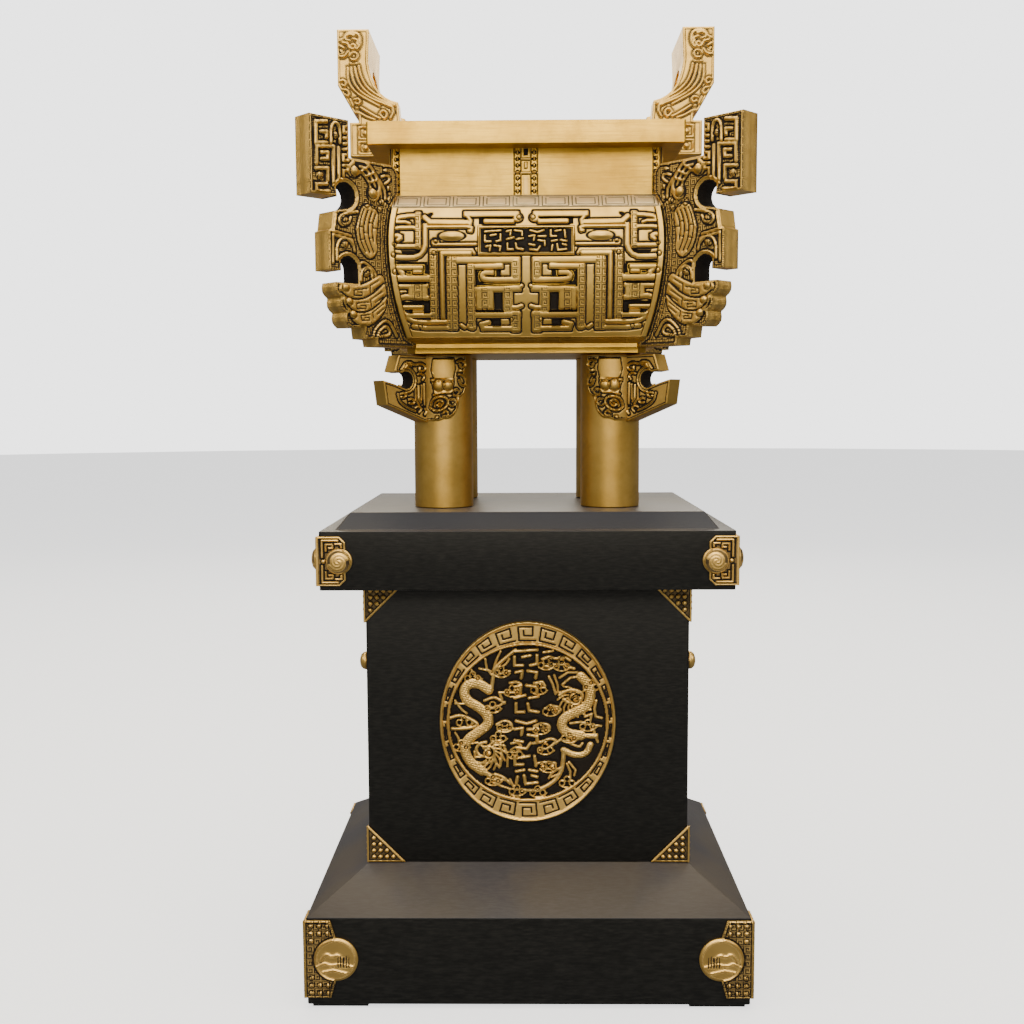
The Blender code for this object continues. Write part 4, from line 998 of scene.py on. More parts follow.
def leg_hook(axis, direction, top_z, step):
    outline = [
        (15.0, HOOK_TOP), (59.0, HOOK_TOP), (64.3, -16.3), *arc(SLOT, SLOT_RADIUS, 55, 275, 14),
        (64.0, -27.5), (76.8, -24.3), (73.5, -46.2), (28.5, -62.0), (15.0, -62.0),
    ]
    hook = Carving((14, -63), (78, 0), step, rim=1.3, crown=0.6)
    hook.trim(outline)
    hook.dark[:] = 0.30
    hook.bar(1.7, 1.0, arc(SLOT, SLOT_RADIUS + 3.4, 60, 270, 12))
    hook.work(HOOK_CARVING)
    place = flat_place((*axis, top_z), (*direction, 0), (0, 0, 1), (direction[1], -direction[0], 0))
    # The slot gets painted shadow inside its edge.
    return hook.finish(HOOK_HALF_THICKNESS - 0.5, 0.0, place, double=True, holes=[(SLOT, SLOT_RADIUS)])


vessel = bronze("vessel_bronze", (0.67, 0.425, 0.108), (0.49, 0.295, 0.062), worn=0.33)
for corner, sx, sy in CORNERS:
    low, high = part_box(f"leg_{corner}")
    axis = (sx * LEG_AXIS[0], sy * LEG_AXIS[1])
    metal = new_casting()
    column = turned(LEG_PROFILE, 72)
    for vert in column.verts:
        vert.co = Vector((axis[0], axis[1], low.z)) + vert.co / MM
    add_mesh(metal, column)
    step = 0.75 if sy < 0 else 1.0
    add_mesh(metal, leg_mask(axis, math.atan2(sy, sx), high.z, step))
    add_mesh(metal, leg_hook(axis, (sx, sy), high.z, step))
    show(f"leg_{corner}_casting", metal, vessel, [f"leg_{corner}"])

# Tank: a hollow four-sided casting, lost-wax, with a plain floor plate, a bulging belly,
# an upright neck and a flat rim. Its outside skin is laid on as carved sheets below.
WIDTH_OVER_DEPTH = 19.7
BELLY_FOOT_Z, BELLY_MAX_Z, BELLY_TOP_Z = 598.5, 681.5, 710.5
BELLY_FOOT, BELLY_MAX, BELLY_TOP = 104.3, 118.0, 114.8
BELLY_CUT = 17.0
SKIN = 3.0
WALL = 5.0
NECK = 99.8
NECK_FOOT_Z, NECK_TOP_Z, RIM_TOP_Z = 723.5, 764.0, 784.0
RIM = 119.0
FLOOR_Z = 594.0
FOOT_PLATE, FOOT_PLATE_Z = 89.0, 585.0
STEP, STEP_Z = 96.5, 589.5


def belly_out(z):
    """Half depth of the bulge at a height, all in millimetres."""
    z = np.asarray(z, float)
    below = (BELLY_MAX_Z - z) / (BELLY_MAX_Z - BELLY_FOOT_Z)
    above = (z - BELLY_MAX_Z) / (BELLY_TOP_Z - BELLY_MAX_Z)
    return np.where(
        z < BELLY_MAX_Z,
        BELLY_MAX - (BELLY_MAX - BELLY_FOOT) * below ** 2,
        BELLY_MAX - (BELLY_MAX - BELLY_TOP) * above ** 2,
    )


def hoop_corners(half_depth, z, cut):
    """One closed hoop: a rectangle with its corners cut off."""
    half_width = half_depth + WIDTH_OVER_DEPTH
    quarter = ((half_width - cut, -half_depth), (half_width, -half_depth + cut))
    loop = [*quarter, *((x, -y) for x, y in reversed(quarter))]
    loop += [(-x, -y) for x, y in loop]
    return [Vector((x, y, z)) / MM for x, y in loop]


def wall_reach(facing):
    """The end walls stand this much further out than the long ones."""
    return WIDTH_OVER_DEPTH if facing[0] else 0.0


def on_wall(facing, sideways, out, across, z):
    """Spots before a wall of the tank, from millimetres outward, sideways and up."""
    flat = np.outer(out, facing) + np.outer(across, sideways)
    return np.stack([flat[:, 0], flat[:, 1], z], 1) / MM


RIM_INNER = (NECK - WALL, RIM_TOP_Z - 0.8, 1.2)
belly_steps = [BELLY_FOOT_Z + 0.3 + (BELLY_TOP_Z - 0.8 - BELLY_FOOT_Z) * k / 12 for k in range(13)]
# Each hoop: half depth, height and corner cut, from the foot plate up and down the inside
hoops = [
    (FOOT_PLATE, FOOT_PLATE_Z, 8.0), (FOOT_PLATE, STEP_Z, 8.0), (STEP, STEP_Z, BELLY_CUT),
    (STEP, 593.0, BELLY_CUT),
    (BELLY_FOOT - 0.6, BELLY_FOOT_Z - 0.4, BELLY_CUT),
]
hoops += [(float(belly_out(z)) - SKIN, z, BELLY_CUT - 1.2) for z in belly_steps]
hoops += [
    (NECK, NECK_FOOT_Z - 0.8, 1.2), (NECK, NECK_TOP_Z, 1.2), (RIM - 0.6, NECK_TOP_Z, 1.2),
    (RIM, NECK_TOP_Z + 0.6, 1.4), (RIM, RIM_TOP_Z - 0.9, 1.6), (RIM - 0.3, RIM_TOP_Z - 0.25, 1.6),
    (RIM - 0.9, RIM_TOP_Z, 1.6), (NECK - WALL + 0.8, RIM_TOP_Z, 1.4), RIM_INNER,
    (NECK - WALL, NECK_FOOT_Z, 1.2),
]
hoops += [(float(belly_out(z)) - WALL, z, BELLY_CUT) for z in reversed(belly_steps[1::3])]
hoops.append((STEP - WALL, FLOOR_Z, BELLY_CUT))
tank = new_casting()
foot_face = bmesh.ops.create_circle(tank, cap_ends=True, radius=0.01, segments=8)
climbing = foot_face["verts"]
for vert, spot in zip(climbing, hoop_corners(*hoops[0])):
    vert.co = spot
rim_edges = list({edge for vert in climbing for edge in vert.link_edges})
tank_dark = tank.verts.layers.float["dark"]
inside = False
for hoop in hoops[1:]:
    made = bmesh.ops.extrude_edge_only(tank, edges=rim_edges)["geom"]
    rim_edges = [item for item in made if isinstance(item, bmesh.types.BMEdge) and item.is_boundary]
    fresh = {item for item in made if isinstance(item, bmesh.types.BMVert)}
    climbing = [
        next(edge.other_vert(vert) for edge in vert.link_edges if edge.other_vert(vert) in fresh)
        for vert in climbing
    ]
    for vert, spot in zip(climbing, hoop_corners(*hoop)):
        vert.co = spot
        vert[tank_dark] = 0.36 if inside else 0.0
    inside = inside or hoop == RIM_INNER
bmesh.ops.holes_fill(tank, edges=rim_edges, sides=0)
tank_metal = bronze("tank_bronze", (0.66, 0.405, 0.062), (0.50, 0.285, 0.038), brushed="x", worn=0.32)
show("vessel_body_tank", tank, tank_metal, ["vessel_body"], sharp=25.0)

# Belly carving: the same beast on all four sides, drawn as one half and mirrored: wings,
# brow, eye, tines, barred ribs, snout and jaw. The front also has a plaque of short strokes.
PLAQUE_HALF = 42.1
PLAQUE_ROWS = (16.5, 41.5)
EYE = (65.2, 24.9)
EYE_REACH = (10.0, 3.9)
EDGE_BEAD, EDGE_BEAD_MIDDLE, EDGE_BEAD_HALF = 5.6, 2.6, 2.3
BELLY_CARVING = (
    ("pit", 0, 2.2, (122.5, 47.1, 86.9, 47.1, 86.9, 50.3, 122.5, 50.3), (91.2, 49.4, 86.4, 49.4, 86.4,
     58.6, 106.1, 58.6, 106.1, 53.6, 100.3, 53.6, 91.2, 53.6)),
    ("pit", 0, 2, (120.5, 63.7, 87.8, 63.7, 87.8, 66.2, 118.6, 66.2), (113.3, 80.9, 85.9, 80.9, 85.9,
     84.4, 113.3, 84.4), (91.2, 84.4, 85.9, 84.4, 85.9, 91.5, 103.2, 91.5, 103.2, 87.8, 91.2, 87.8)),
    ("pit", 0, 2.2, (44.1, 54, 22.4, 54, 22.4, 60, 33, 60, 40.2, 64.7, 5.1, 64.7, 5.1, 67.4, 44.1,
     68.8)),
    ("pit", 0, 2, (45.5, 88.5, 9.9, 88.5, 9.9, 90.9, 45.5, 90.1), (33, 96.6, 22.4, 96.6, 22.4, 102.4,
     30.1, 102.4), (41.2, 8.2, 12.3, 8.2, 12.3, 11.9, 35.9, 11.9, 36.8, 14.9, 41.2, 14.9)),
    ("pit", 0, 1.4, (110, 37.3, 92.2, 37.3, 92.2, 41, 108, 41), (86.9, 6.3, 83, 4, 80.6, 5.4, 84, 8.6),
     (54.2, 11.9, 52.2, 7.2, 48.9, 9.5, 48.9, 14.2, 52.2, 15.1)),
    ("pit", 0, 1.6, (29.1, 72.1, 21.5, 72.1, 21.5, 88.3, 28.2, 88.3)),
    ("bar", 5.4, 1.5, (94.4, 6.3, 94.4, 33.2)),
    ("bar", 3.6, 1.5, (116.2, 11.4, 110.9, 8.2, 103.2, 7.2, 95.5, 6.8)),
    ("bar", 2.4, 1.5, (117.2, 12.3, 106.1, 12.3, 101.8, 13.7)),
    ("bar", 3.2, 1.5, (118.1, 18.3, 110, 17.4, 100.3, 17.4, 96, 17.9)),
    ("bar", 3.6, 1.5, (96, 33.6, 116.7, 33.6, 119.6, 29, 117.2, 24.8, 112.4, 23.9, 109.2, 26.2, 112.4,
     28.3)),
    ("bar", 4.2, 1.5, (88.4, 16, 88.4, 42.9, 114.8, 43.4, 119.6, 41, 121.5, 35.5, 121.7, 29, 120.5,
     25.3)),
    ("bar", 4.6, 1.6, (88.8, 8.6, 84, 12.8, 52.2, 13.3)),
    ("bar", 2.6, 1.6, (86.9, 17, 52.2, 17, 47.4, 17.9, 47.9, 21.1, 50.1, 20.7)),
    ("bar", 5, 1.7, (52.2, 6, 8.5, 6)),
    ("bar", 6.5, 1.7, (7.8, 9.7, 6.5, 9.4)),
    ("bar", 4.2, 1.3, (35.4, 12.1, 12.3, 12.3)),
    ("bar", 3, 1.5, (51.3, 8.2, 48.4, 11.4, 48.9, 15.1)),
    ("bar", 2.2, 1.3, (81.1, 32.2, 44.1, 32.2), (81.1, 32.2, 81.9, 29.9, 79.2, 28.3, 77.3, 29.7)),
    ("bar", 7, 1.2, (81.3, 39.2, 81.3, 92.9)),
    ("bar", 3.6, 1.5, (73.9, 94.3, 73.9, 40.1, 49.4, 40.1)),
    ("bar", 2.6, 1.4, (76.8, 37, 47.4, 37, 45.5, 40.1)),
    ("bar", 9, 1.2, (65.3, 101.7, 65.3, 47.1)),
    ("bar", 5.6, 1.3, (65.3, 45.7, 7.8, 45.7)),
    ("bar", 8, 1.5, (9.1, 47.1, 9.1, 60.7)),
    ("bar", 4.6, 1.5, (9.1, 62.8, 37.8, 62.8, 39.2, 58.6, 36.8, 56.6, 30.1, 56.6)),
    ("bar", 6.8, 1.4, (48.4, 99.9, 48.4, 52.3)),
    ("bar", 4.6, 1.4, (48.4, 51.4, 22.4, 51)),
    ("bar", 6, 1.4, (49.8, 102.6, 47.9, 103.1)),
    ("bar", 3.2, 1.4, (57.8, 101.7, 55.1, 103.6)),
    ("bar", 5.4, 1.6, (42.1, 71.2, 7, 70.2)),
    ("bar", 3, 1.6, (8.9, 70.7, 4.1, 67.9)),
    ("pad", 0, 1.5, (44.1, 71.6, 28.7, 71.6, 28.7, 88.1, 44.1, 88.1)),
    ("bar", 8.6, 1.5, (16.2, 72.5, 16.2, 86.4)),
    ("bar", 3.6, 1.5, (16.2, 86.6, 8, 86.6, 4.3, 85.3)),
    ("bar", 4.4, 1.6, (43.6, 92.7, 7, 92.7)),
    ("bar", 8.4, 1.6, (9.4, 93.4, 9.4, 103.6)),
    ("bar", 4, 1.6, (9.4, 104.5, 38.3, 104.5, 39.9, 100.8, 33, 99.2)),
    ("bar", 4, 1.5, (92.2, 52, 119.6, 52)),
    ("bar", 6.4, 1.5, (118.6, 53.6, 118.6, 59.6)),
    ("bar", 5.4, 1.5, (119.6, 61, 85.9, 61)),
    ("bar", 3.4, 1.3, (98.4, 55.6, 92.6, 55.6)),
    ("bar", 4, 1.3, (111.9, 54, 108.5, 56.8, 109.5, 60.5)),
    ("bar", 3.8, 1.6, (117.9, 71.2, 114.8, 68.2, 87.8, 67.7)),
    ("bar", 4.2, 1.6, (115.7, 78.8, 106.1, 76.7, 87.8, 78.1)),
    ("pad", 0, 1.5, (104, 68.4, 87.1, 68.4, 87.1, 79, 104, 77.2)),
    ("bar", 3.6, 1.6, (92.2, 85.8, 110.9, 85.8, 111.4, 88.3, 106.1, 92.9, 84.9, 92.9)),
    ("bar", 3, 1.3, (99.4, 89.7, 92.2, 89.7)),
    ("bar", 3.4, 1.5, (111.4, 88.3, 105.2, 95.7, 97.5, 98.9, 71.5, 98.7)),
    ("bar", 3.6, 1.2, (100.3, 102.4, 88.8, 103.8, 67.6, 103.8)),
    ("boss", 2, 1, (115.3, 55.4)),
    ("boss", 1.9, 1, (116.2, 40.9)),
    ("boss", 1.5, 0.9, (94.1, 102.6)),
    ("boss", 1.6, 0.9, (79.2, 29.5), (13.3, 97.1)),
    ("boss", 1.8, 0.9, (80.9, 39.7), (6.1, 9.1)),
    ("boss", 1.5, 0.8, (115.3, 31.8)),
)
FRETTED_BARS = (
    (7.0, 81.3, 41, 93), (8.6, 65.3, 102, 47), (6.4, 48.4, 100, 53), (8.0, 36.5, 74, 85),
    (7.0, 16.2, 73, 86), (10, 95.6, 70, 78), (5.2, 94.4, 7, 33), (6.5, 9.2, 50, 58),
    (6.5, 9.4, 95, 102),
)
SIGN_SPOTS = (-28.7, -9.9, 9.9, 28.7)


def edge_reach(z, half):
    """Distance from the middle to the panel's edge at a height."""
    return belly_out(z) - BELLY_CUT + (WIDTH_OVER_DEPTH if half else 0.0)


def belly_panel(step, long_side, signed):
    """One carved side; b runs down from the top edge."""
    tall = BELLY_TOP_Z - BELLY_FOOT_Z
    widest = float(edge_reach(BELLY_MAX_Z, long_side))
    panel = Carving((-widest, 0.0), (widest, tall), step)
    z = BELLY_TOP_Z - panel.b
    panel.a *= edge_reach(z, long_side) / widest
    narrow = 1.0 if long_side else widest / float(edge_reach(BELLY_MAX_Z, True))
    for turn in (-1, 1):
        panel.work(BELLY_CARVING, turn, narrow)
        for width, across, *ends in FRETTED_BARS:
            off = panel.away([(turn * narrow * across, end) for end in ends])
            panel.fretted = np.maximum(panel.fretted, ease((width / 2 - off) / 0.6 + 0.5))
        eye = np.hypot(
            (panel.a - turn * narrow * EYE[0]) / (EYE_REACH[0] * narrow),
            (panel.b - EYE[1]) / EYE_REACH[1],
        )
        panel.extra += 1.9 * ease(1.15 - eye) - 0.5 * ease(1 - np.abs(eye - 1.2) / 0.22)
        panel.dark = np.maximum(panel.dark, 0.8 * ease(1 - np.abs(eye - 1.2) / 0.25))
    top, foot = PLAQUE_ROWS
    half = PLAQUE_HALF * narrow
    if signed:
        frame_gap = np.maximum(
            np.abs(panel.a) - half, np.abs(panel.b - (top + foot) / 2) - (foot - top) / 2,
        )
        inside = frame_gap < 0.6
        panel.near = np.where(inside, frame_gap, panel.near)
        panel.rise = np.where(inside, 1.8, panel.rise)
        panel.extra = np.where(inside, 0.0, panel.extra)
        panel.fretted = np.where(inside, 0.0, panel.fretted)
        well = ease((-frame_gap - 2.0) / 0.7)
        panel.near = np.where(frame_gap < -1.6, FAR, panel.near)
        panel.ground = np.where(frame_gap < -1.6, -0.4 * well, panel.ground)
        panel.dark = np.where(frame_gap < -1.6, well, panel.dark)
        strike_signs(panel, 1.9, 1.7, [(a, (top + foot) / 2) for a in SIGN_SPOTS], (0.8, -0.86))
    border = edge_reach(z, long_side) - np.abs(panel.a)
    off = np.abs(border - EDGE_BEAD_MIDDLE) - EDGE_BEAD_HALF
    panel.near = np.where(border < EDGE_BEAD, off, panel.near)
    panel.rise = np.where(border < EDGE_BEAD, 1.2, panel.rise)
    return panel


def lay_belly(name, panel, facing, sideways):
    def place(points):
        z = BELLY_TOP_Z - points[:, 1]
        out = belly_out(z) + wall_reach(facing) + points[:, 2]
        return on_wall(facing, sideways, out, points[:, 0], z)

    metal = panel.finish(-0.4, SKIN + 0.4, place)
    show(name, metal, belly_metal, ["vessel_body"], sharp=60.0)


belly_metal = bronze("belly_bronze", (0.76, 0.495, 0.125), (0.55, 0.335, 0.072), worn=0.33)
SIDES = (
    ("front", (0, -1), (1, 0), True, 0.68), ("back", (0, 1), (-1, 0), True, 1.25),
    ("left", (-1, 0), (0, -1), False, 1.15), ("right", (1, 0), (0, 1), False, 1.15),
)
for side, facing, sideways, long_side, step in SIDES:
    panel = belly_panel(step, long_side, side == "front")
    lay_belly(f"vessel_body_panel_{side}", panel, facing, sideways)

# Corner mouldings and bands: a smooth rounded strip down each corner of the belly, a fret
# band on the slope above in a paler bronze as painted light from above, a narrow one below,
# beading and a ladder on the neck.
STRIP_HALF = 12.0
FOOT_INSET = 14.0
NECK_BEADS, NECK_BEAD_PITCH = 7, 5.6
DIAGONAL = 0.7071


def corner_strip(sx, sy, step):
    strip = Carving((-STRIP_HALF, 0.0), (STRIP_HALF, BELLY_TOP_Z - BELLY_FOOT_Z), step)
    strip.near = 7.4 - np.abs(strip.a)
    strip.rise[:] = 0.9
    strip.cut[np.abs(strip.a) > 10.0] = 0.8

    def place(points):
        z = BELLY_TOP_Z - points[:, 1]
        share = points[:, 0] / (2 * STRIP_HALF) + 0.5
        out = belly_out(z)
        start = np.stack([out + WIDTH_OVER_DEPTH - BELLY_CUT, out], 1)
        end = np.stack([out + WIDTH_OVER_DEPTH, out - BELLY_CUT], 1)
        flat = start * (1 - share)[:, None] + end * share[:, None] + points[:, 2:3] * DIAGONAL
        return np.stack([sx * flat[:, 0], sy * flat[:, 1], z], 1) / MM

    return strip.finish(-0.3, SKIN - 0.2, place)


def sloping_band(low, high, facing, sideways, extra, inset_ends, step, cells):
    """A fret band on the slope between two levels (half depth, z)."""
    length = math.hypot(high[0] - low[0], high[1] - low[1])
    wide = max(low[0], high[0]) + extra - inset_ends
    band = Carving((-wide, 0.0), (wide, length), step)
    band.dark[:] = 0.10
    for edge in (0.5, length - 0.5):
        band.groove(0.9, 0.35, [(-wide, edge), (wide, edge)])
    pitch = 2 * wide / cells
    for cell in range(cells):
        left = -wide + pitch * (cell + 0.06)
        for inset in (0.0, 3.2):
            low_b, high_b = 2.4 + inset * 0.8, length - 2.4 - inset * 0.8
            if high_b - low_b > 1.0:
                right = left + pitch * 0.88 - inset
                band.groove(0.8, 0.35, [
                    (left + inset, high_b), (left + inset, low_b), (right, low_b), (right, high_b),
                    (left + inset + 3.0, high_b),
                ])
    out_axis = np.array([high[1] - low[1], low[0] - high[0]]) / length

    def place(points):
        share = points[:, 1] / length
        out = low[0] + (high[0] - low[0]) * share + points[:, 2] * out_axis[0]
        z = low[1] + (high[1] - low[1]) * share + points[:, 2] * out_axis[1]
        return on_wall(facing, sideways, out + wall_reach(facing), points[:, 0], z)

    return band.finish(0.1, 1.2, place)


def neck_strip(facing, sideways, half, step, kind):
    """Beading at both ends of a neck panel, or the ladder in its middle."""
    tall = NECK_TOP_Z - NECK_FOOT_Z
    metal = new_casting()
    places = ((-half + 4.0, 4.0), (half - 4.0, 4.0)) if kind == "beads" else ((0.0, 11.0),)
    for middle, reach in places:
        strip = Carving((-reach, 0.4), (reach, tall - 0.2), step)
        strip.dark[:] = 1.0
        columns = (0.6,) if kind == "beads" else (-7.4, 7.4)
        for column in columns:
            spot = column if middle <= 0 else -column
            for bead in range(NECK_BEADS):
                strip.boss(2.1, 2.2, [(spot, 3.2 + bead * NECK_BEAD_PITCH)])
        if kind == "beads":
            for edge in (-3.0, 3.2):
                strip.bar(1.2, 1.1, [(edge, 0.5), (edge, tall)])
        else:
            for edge in (-10.2, -4.4, 4.4, 10.2):
                strip.bar(1.2, 1.2, [(edge, 0.5), (edge, tall)])
            middle_part = (np.abs(strip.a) < 3.9) & (strip.b < 17)
            strip.dark = np.where(middle_part, 0.0, strip.dark)
            strip.bar(2.4, 1.6, [(-10, 19), (10, 19)])
            strip.bar(2.4, 1.6, [(-4, 31), (4, 31)])
            strip.bar(3.0, 1.2, [(0, 24), (0, 27)])

        def place(points, middle=middle):
            out = NECK + wall_reach(facing) + points[:, 2]
            z = NECK_FOOT_Z + points[:, 1]
            return on_wall(facing, sideways, out, points[:, 0] + middle, z)

        add_mesh(metal, strip.finish(0.15, 1.0, place))
    return metal


trim, slopes = new_casting(), new_casting()
# A paler copy of the bronze, lighter in its hollows too, for the band on the slope: painted light falling
# on the up-facing band from above.
painted_lit_bronze = bronze(
    "painted_lit_bronze", (0.86, 0.70, 0.42), (0.76, 0.58, 0.32), grime=(0.06, 0.045, 0.02), worn=0.45,
)
for _, sx, sy in CORNERS:
    add_mesh(trim, corner_strip(sx, sy, 1.2))
for side, facing, sideways, long_side, step in SIDES:
    extra = WIDTH_OVER_DEPTH if long_side else 0.0
    fine = 0.8 if side == "front" else 1.3
    add_mesh(slopes, sloping_band(
        (BELLY_TOP, BELLY_TOP_Z), (NECK + 0.3, NECK_FOOT_Z), facing, sideways, extra, BELLY_CUT, fine, 9,
    ))
    add_mesh(trim, sloping_band(
        (96.8, 593.2), (BELLY_FOOT, BELLY_FOOT_Z), facing, sideways, extra, FOOT_INSET, fine, 11,
    ))
    half = NECK + extra
    for kind in ("beads", "ladder"):
        add_mesh(trim, neck_strip(facing, sideways, half, 0.75 if side == "front" else 1.0, kind))
for name, metal, finish in (("bands", trim, vessel), ("slopes", slopes, painted_lit_bronze)):
    show(f"vessel_body_{name}", metal, finish, ["vessel_body"], sharp=60.0)

# Corner ribs: flat castings welded on the diagonals, plain on edge, both faces chased with
# hooks, a slanted fret band between two bosses, feathers, scales and a nested triangle.
RIB_HALF_THICKNESS = 11.0
NECK_CORNER = (119.5, 99.8)
POCKETS = (((58.5, -7.8), 11.0), ((56.0, -68.4), 10.0))
LOWER_NOTCH = ((52.0, -78.0), 10.0)
RIB_LINES = (2.9, 5.2, 7.5)
RIB_CARVING = (
    ("groove", 2, 1.1, (91.8, 50.4, 93.2, -9.4)),
    ("bar", 3.2, 1.8, (76.3, 50.4, 86.9, 48.7, 87.3, 31.6, 76.7, 33.2)),
    ("bar", 3, 1.8, (82.2, 41.4, 76.5, 42.3, 76.6, 37.7)),
    ("bar", 2.8, 1.8, (87.1, 15, 86.8, 28.7, 69.6, 31.2, 70.2, 2), (82, 19.3, 75.8, 20.1, 75.6, 25.5,
     81.9, 24.6)),
    ("bar", 3, 1.8, (87.8, 10.9, 75.9, 12.5, 76.2, 2.3)),
    ("boss", 3.4, 2.2, (84, 5.8)),
    ("bar", 2.8, 1.7, (76.9, -0.7, 87.5, -2, 87.6, -7.8, 74.5, -6.2)),
    ("bar", 2.4, 1.7, (72.1, 33.8, 71.8, 47.6, 67.4, 51.8, 62.8, 49, 63.1, 35.2)),
    ("boss", 3.2, 2.2, (67.6, 40.6)),
    ("bar", 2.4, 1.7, (64.2, 30.9, 65, -5.1)),
    ("bar", 2.6, 1.6, (54.1, 49.3, 58.6, 48.6, 58.7, 44, 54.2, 44.7), (58.8, 39.4, 54.3, 40, 54.4, 35.4,
     58.9, 34.7)),
    ("bar", 2.4, 1.6, (59.4, 30.1, 54.2, 30.8, 54.3, 26.2, 59.5, 25.4, 59.6, 20.8, 54.4, 21.5), (59.7,
     16.7, 55, 17.3, 55.1, 13.2, 59.8, 12.6, 59.9, 8.4)),
    ("bar", 12.5, 1.7, (49.1, 14.7, 44.5, 19, 37.1, 18.6, 28.9, 10.2, 25.2, 2.9, 28.1, -3.4)),
    ("groove", 7.6, 1.2, (44.5, 18.5, 37.1, 18, 30, 10.1, 26.8, 3.1)),
    ("line", 1.82, 1.2, (40.9, 14.6, 34, 19.2), (36.5, 10.4, 28.8, 14.4), (33.6, 5.5, 25.1, 8.9), (43.1,
     18, 36.3, 17.5, 30, 10.1, 26.5, 3.1)),
    ("boss", 4.4, 3, (48.8, 13.5), (29.6, -2.9)),
    ("pad", 0, 1.5, (43.9, -23.5, 39.8, -13.8, 31.6, -12.9, 22.9, -18.9, 25.1, -32.3, 26.4, -42, 24.7,
     -52.6, 32.2, -59.9, 40.6, -54.6, 45.8, -44.9, 47.4, -34.5)),
    ("groove", 1.3, 0.9, (39.3, -17.1, 43, -25.8, 44.7, -34.2, 43.1, -44.7, 38.2, -53.2), (34.8, -17.8,
     38.5, -26.5, 39.9, -34.9, 38.6, -44.3, 33.6, -53.4), (30.5, -18.5, 33.7, -26, 35.1, -34.4, 33.7,
     -43.8, 29.3, -53), (26.6, -19.9, 29.2, -26.7, 30.5, -35.2, 29.5, -43.5)),
    ("groove", 0.8, 0.6, (45, -32.4, 40.8, -32.4), (44.3, -43.6, 39.2, -42.4), (39.4, -37.2, 35.1,
     -36.8), (34.4, -28.4, 30.1, -28.5), (34, -41.5, 29.7, -40.6), (29.9, -32.7, 25.3, -32.5)),
    ("boss", 2.6, 1.8, (36.2, -12.9)),
    ("boss", 2.4, 2.2, (28.9, -13.1)),
    ("boss", 2.6, 2.4, (19, -9.2)),
    ("boss", 2.2, 2, (21.5, -15.7)),
    ("boss", 4, 2.6, (59.5, -28.6)),
    ("bar", 2.34, 1.2, (52.8, -25.6, 55.9, -31.8, 63.2, -33.1, 65.3, -26.9, 58.6, -22.7, 45.3, -20.1)),
    ("bar", 2.08, 1.4, (68.1, -24.3, 70.6, -36.7), (73.5, -38.2, 53.1, -41.1)),
    ("boss", 3.8, 2.4, (59.9, -48.3)),
    ("bar", 2.34, 1.4, (67.9, -62.1, 67.7, -50.4, 63.5, -44.2, 56.1, -43.3, 51.1, -47.8)),
    ("bar", 2.08, 1.2, (71.9, -64.8, 71.4, -41.5, 51.7, -44.3, 48.9, -53.5)),
    ("boss", 3.6, 2.2, (37, -71)),
    ("bar", 2.34, 1.4, (42.7, -78, 42.6, -70.8, 37.2, -66.2, 31.2, -68.8, 30.5, -74.7)),
    ("bar", 2.08, 1.2, (45, -81.7, 44.7, -65, 40.1, -61.1, 28.1, -68.5, 26.7, -73.2)),
    ("pad", 0, 1.5, (66.6, -86.1, 64.3, -81.8, 46.6, -83.6, 31.3, -77.2, 20.4, -70.4, 15.9, -79.8, 15.9,
     -95.6, 17.6, -103, 28.9, -113.9, 38.9, -117.1, 48.7, -115.3, 55.3, -108.5, 61, -98.1)),
    ("groove", 1.6, 1, (64.4, -88.9, 57.9, -93.2, 49, -94.3, 40.4, -93.1, 29.7, -87.9, 19, -78.8), (58.8,
     -99.2, 52.2, -104.5, 44, -105.5, 34.6, -103.6, 23.7, -96.6, 16.9, -89.6)),
    ("groove", 1, 0.7, (36.8, -84.2, 51.1, -86.9, 51.2, -91, 42.5, -90.9, 42.4, -87.7, 47.6, -88.3),
     (33.8, -88.2, 33.7, -81.9, 24.4, -76.7), (30, -85.5, 22.2, -80.8), (35.5, -96.1, 48.3, -97.6, 48.1,
     -102.4, 38.6, -101.9, 38.6, -99, 44.2, -99.6), (32.5, -99.9, 33.5, -93.9, 20.7, -86.1), (28.6,
     -96.3, 19.2, -90.3), (34.9, -106.9, 44, -107.7, 43.4, -112.1, 35, -111.7, 35, -109.2, 40.3, -109.7),
     (30.4, -109.7, 31.5, -104.7, 19.3, -96.4), (26.5, -106.1, 18.6, -100.4)),
    ("boss", 3.4, 2, (59.6, -84.8), (56.1, -96.4), (52, -107.1)),
    ("bar", 2.2, 1.4, (30.7, -127.9, 29, -118.7, 14.1, -108.3, 4.1, -124.5)),
    ("bar", 2.34, 1.3, (25.3, -125.3, 24.1, -120.6, 15.3, -114.5, 10.1, -123.5, 25.3, -125.3)),
    ("bar", 2.2, 1.4, (18.7, 27, 10.9, 29.3, 10.2, 24, 16.5, 22.5)),
    ("boss", 2.8, 2, (13.9, 18.1)),
    ("bar", 2.2, 1.4, (18.9, 12.7, 11.9, 15.4, 9.7, 10.8, 15.2, 7.2)),
    ("boss", 2.6, 1.9, (11.7, 3.4)),
    ("bar", 2.2, 1.4, (21.3, 9.4, 15.8, 1.1, 15.4, -6.1), (10.7, -0.7, 11.3, -8)),
)


